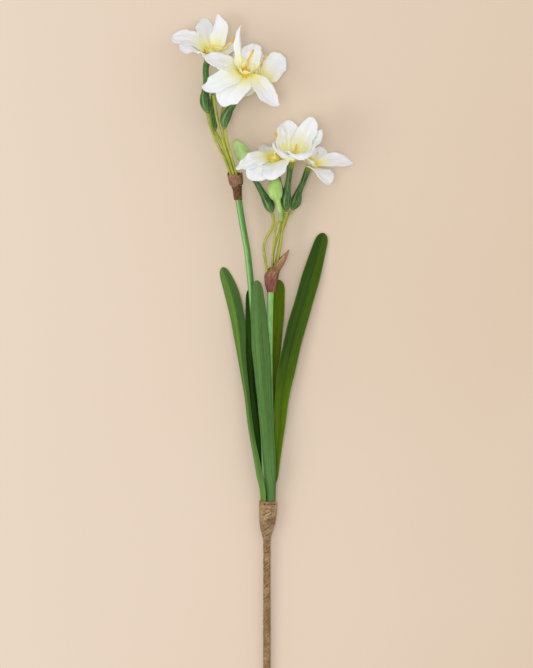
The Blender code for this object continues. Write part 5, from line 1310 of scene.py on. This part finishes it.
def build_stems():
    for name, node, pts, r, seed in (("scape_tall_stem", "scape_tall", SCAPE_TALL, SCAPE_TALL_R, 1),
                                     ("scape_short_stem", "scape_short", SCAPE_SHORT, SCAPE_SHORT_R, 2)):
        path = spline(pts, 120)

        def law(S, G):
            return r * (1 + 0.02 * np.cos(7 * G + seed + S * 2) + 0.012 * np.sin(S * 40 + seed))
        v, f, uv = loft(path, law, 32)
        uv[:, 1] *= 8.0
        publish(name, v, f, uv, SCAPE if node == "scape_tall" else SCAPE2, [node])
    for i, (name, pts) in enumerate(PEDICELS.items()):
        path = spline(pts, 60)

        def law(S, G):
            r = PEDICEL_R * (0.8 if name.endswith("lower_small_bud") else 1.0) + 0.10 + 0.50 * S ** 8 + 0.05 * np.sin(S * 23 + i) + 0.04 * np.cos(3 * G + i)
            return r * np.sqrt(np.clip(S / 0.01, 0.2, 1.0))
        v, f, uv = loft(path, law, 16)
        uv[:, 1] *= 3.0
        publish(name + "_stalk", v, f, uv, PEDICEL, [name])


def build_buds():
    for name, pts in BUD_TUBES.items():
        fine_tube(name + "_neck", name, pts, None, BUD_TUBE_PROFILE, len(name))
    for name, (pts, prof, size) in BUDS.items():
        path = spline(pts, at=end_stations(56))
        knots = np.array(prof)
        small = name.endswith("small")

        def law(S, G):
            r = np.maximum(smooth_interp(S, knots) * size, 0.25)
            seam = np.abs(np.sin(1.5 * G + 2.2 * S)) ** 0.5
            body = smoothstep((S - (0.35 if small else 0.1)) / 0.2)
            r = r * (1 - 0.05 * body * (1 - seam) + 0.012 * np.sin(9 * G))
            cap = np.sqrt(np.clip(1 - ((S - 0.965) / 0.035) ** 2, 0.0, 1.0))
            return np.where(S > 0.965, r * (0.35 + 0.65 * cap), r)
        v, f, uv = loft(path, law, 30)
        publish(name + "_shell", v, f, uv, BUD_SMALL if small else BUD_LARGE, [name])


build_handle()
build_stems()
for leaf_name, leaf in LEAVES.items():
    build_leaf(leaf_name, leaf)
build_spathe("spathe_tall_paper", "spathe_tall", SPATHE_TALL, 85.0, 84, SPATHE, 31, skirt=461.4)
build_spathe("spathe_short_leaf", "spathe_short", SPATHE_SHORT, 350.0, 80, SPATHE2, 47, ragged=0.5, crumple=0.45)
for flower_index, (flower_name, flower) in enumerate(FLOWERS.items()):
    build_flower(flower_name, flower, flower_index + 1)
build_buds()

# ---------------------------------------------------------------------- stage


def build_stage():
    size = 6.0
    mesh = bpy.data.meshes.new("floor")
    mesh.from_pydata([(-size, -size, 0), (size, -size, 0), (size, size, 0), (-size, size, 0)], [], [(0, 1, 2, 3)])
    m = Nodes("floor_paper", rough=0.9, Specular_IOR_Level=0.1)
    pos = m.position()
    cloud = m.noise(pos, 3.0, 2.0, 0.4)
    sep = m.add("ShaderNodeSeparateXYZ")
    m.link(pos, sep.inputs[0])
    across = m.math("ADD", m.math("MULTIPLY", sep.outputs["X"], 1.2), 0.5)
    # painted light falloff: the floor's colour runs from lighter on the left to darker on the right
    colour = m.mix(m.ramp(across, [(0.15, 0.0), (0.9, 1.0)], "LINEAR"), FLOOR_LEFT, FLOOR_RIGHT)
    colour = m.mix(m.ramp(cloud, [(0.35, 0.0), (0.7, 0.35)]), colour, FLOOR_LEFT)
    mesh.materials.append(m.done(colour, m.bump(m.noise(pos, 700.0, 3.0, 0.6), 0.03, 0.0002)))
    floor = bpy.data.objects.new("floor", mesh)
    bpy.context.scene.collection.objects.link(floor)


# lighter left and darker right floor colours: painted light falloff across the floor
FLOOR_LEFT, FLOOR_RIGHT = srgb(228, 210, 192), srgb(217, 195, 171)
build_stage()


def softbox(name, place, aim, size, power, colour=(1, 1, 1)):
    light = bpy.data.lights.new(name, "AREA")
    light.shape = "RECTANGLE"
    light.size, light.size_y = size
    light.energy = power
    light.color = colour
    ob = bpy.data.objects.new(name, light)
    bpy.context.scene.collection.objects.link(ob)
    ob.location = place
    d = np.array(aim, float) - np.array(place, float)
    from mathutils import Vector
    ob.rotation_euler = Vector(d).to_track_quat("-Z", "Y").to_euler()
    return ob


softbox("key", (-1.9, -0.5, 2.0), (0, 0.05, 0), (1.3, 1.3), 15.5, (1.0, 0.995, 0.985))
softbox("fill", (1.8, 0.9, 2.4), (0, 0.05, 0), (2.4, 2.4), 7.0, (0.97, 0.985, 1.0))
softbox("front", (-0.25, 0.05, 3.2), (0, 0.05, 0), (0.9, 0.9), 24.0, (1.0, 0.995, 0.99))

scene = bpy.context.scene
world = bpy.data.worlds.new("studio")
world.use_nodes = True
world.node_tree.nodes["Background"].inputs["Color"].default_value = (1.0, 0.995, 0.99, 1.0)
world.node_tree.nodes["Background"].inputs["Strength"].default_value = 0.655
scene.world = world
scene.view_settings.view_transform = "Standard"

camera = bpy.data.cameras.new("camera")
camera_ob = bpy.data.objects.new("camera", camera)
scene.collection.objects.link(camera_ob)
camera.type = "PERSP"
camera.sensor_width = 36.0
CAMERA_HEIGHT = 6.0
VIEW_HEIGHT = 0.5678
camera.lens = 36.0 * (CAMERA_HEIGHT - 0.030) / VIEW_HEIGHT
camera_ob.location = ((-0.3 - BOX_CENTRE[0]) * MM, (337.1 - BOX_CENTRE[1]) * MM, CAMERA_HEIGHT)
camera.clip_start, camera.clip_end = 0.5, 20.0
scene.camera = camera_ob
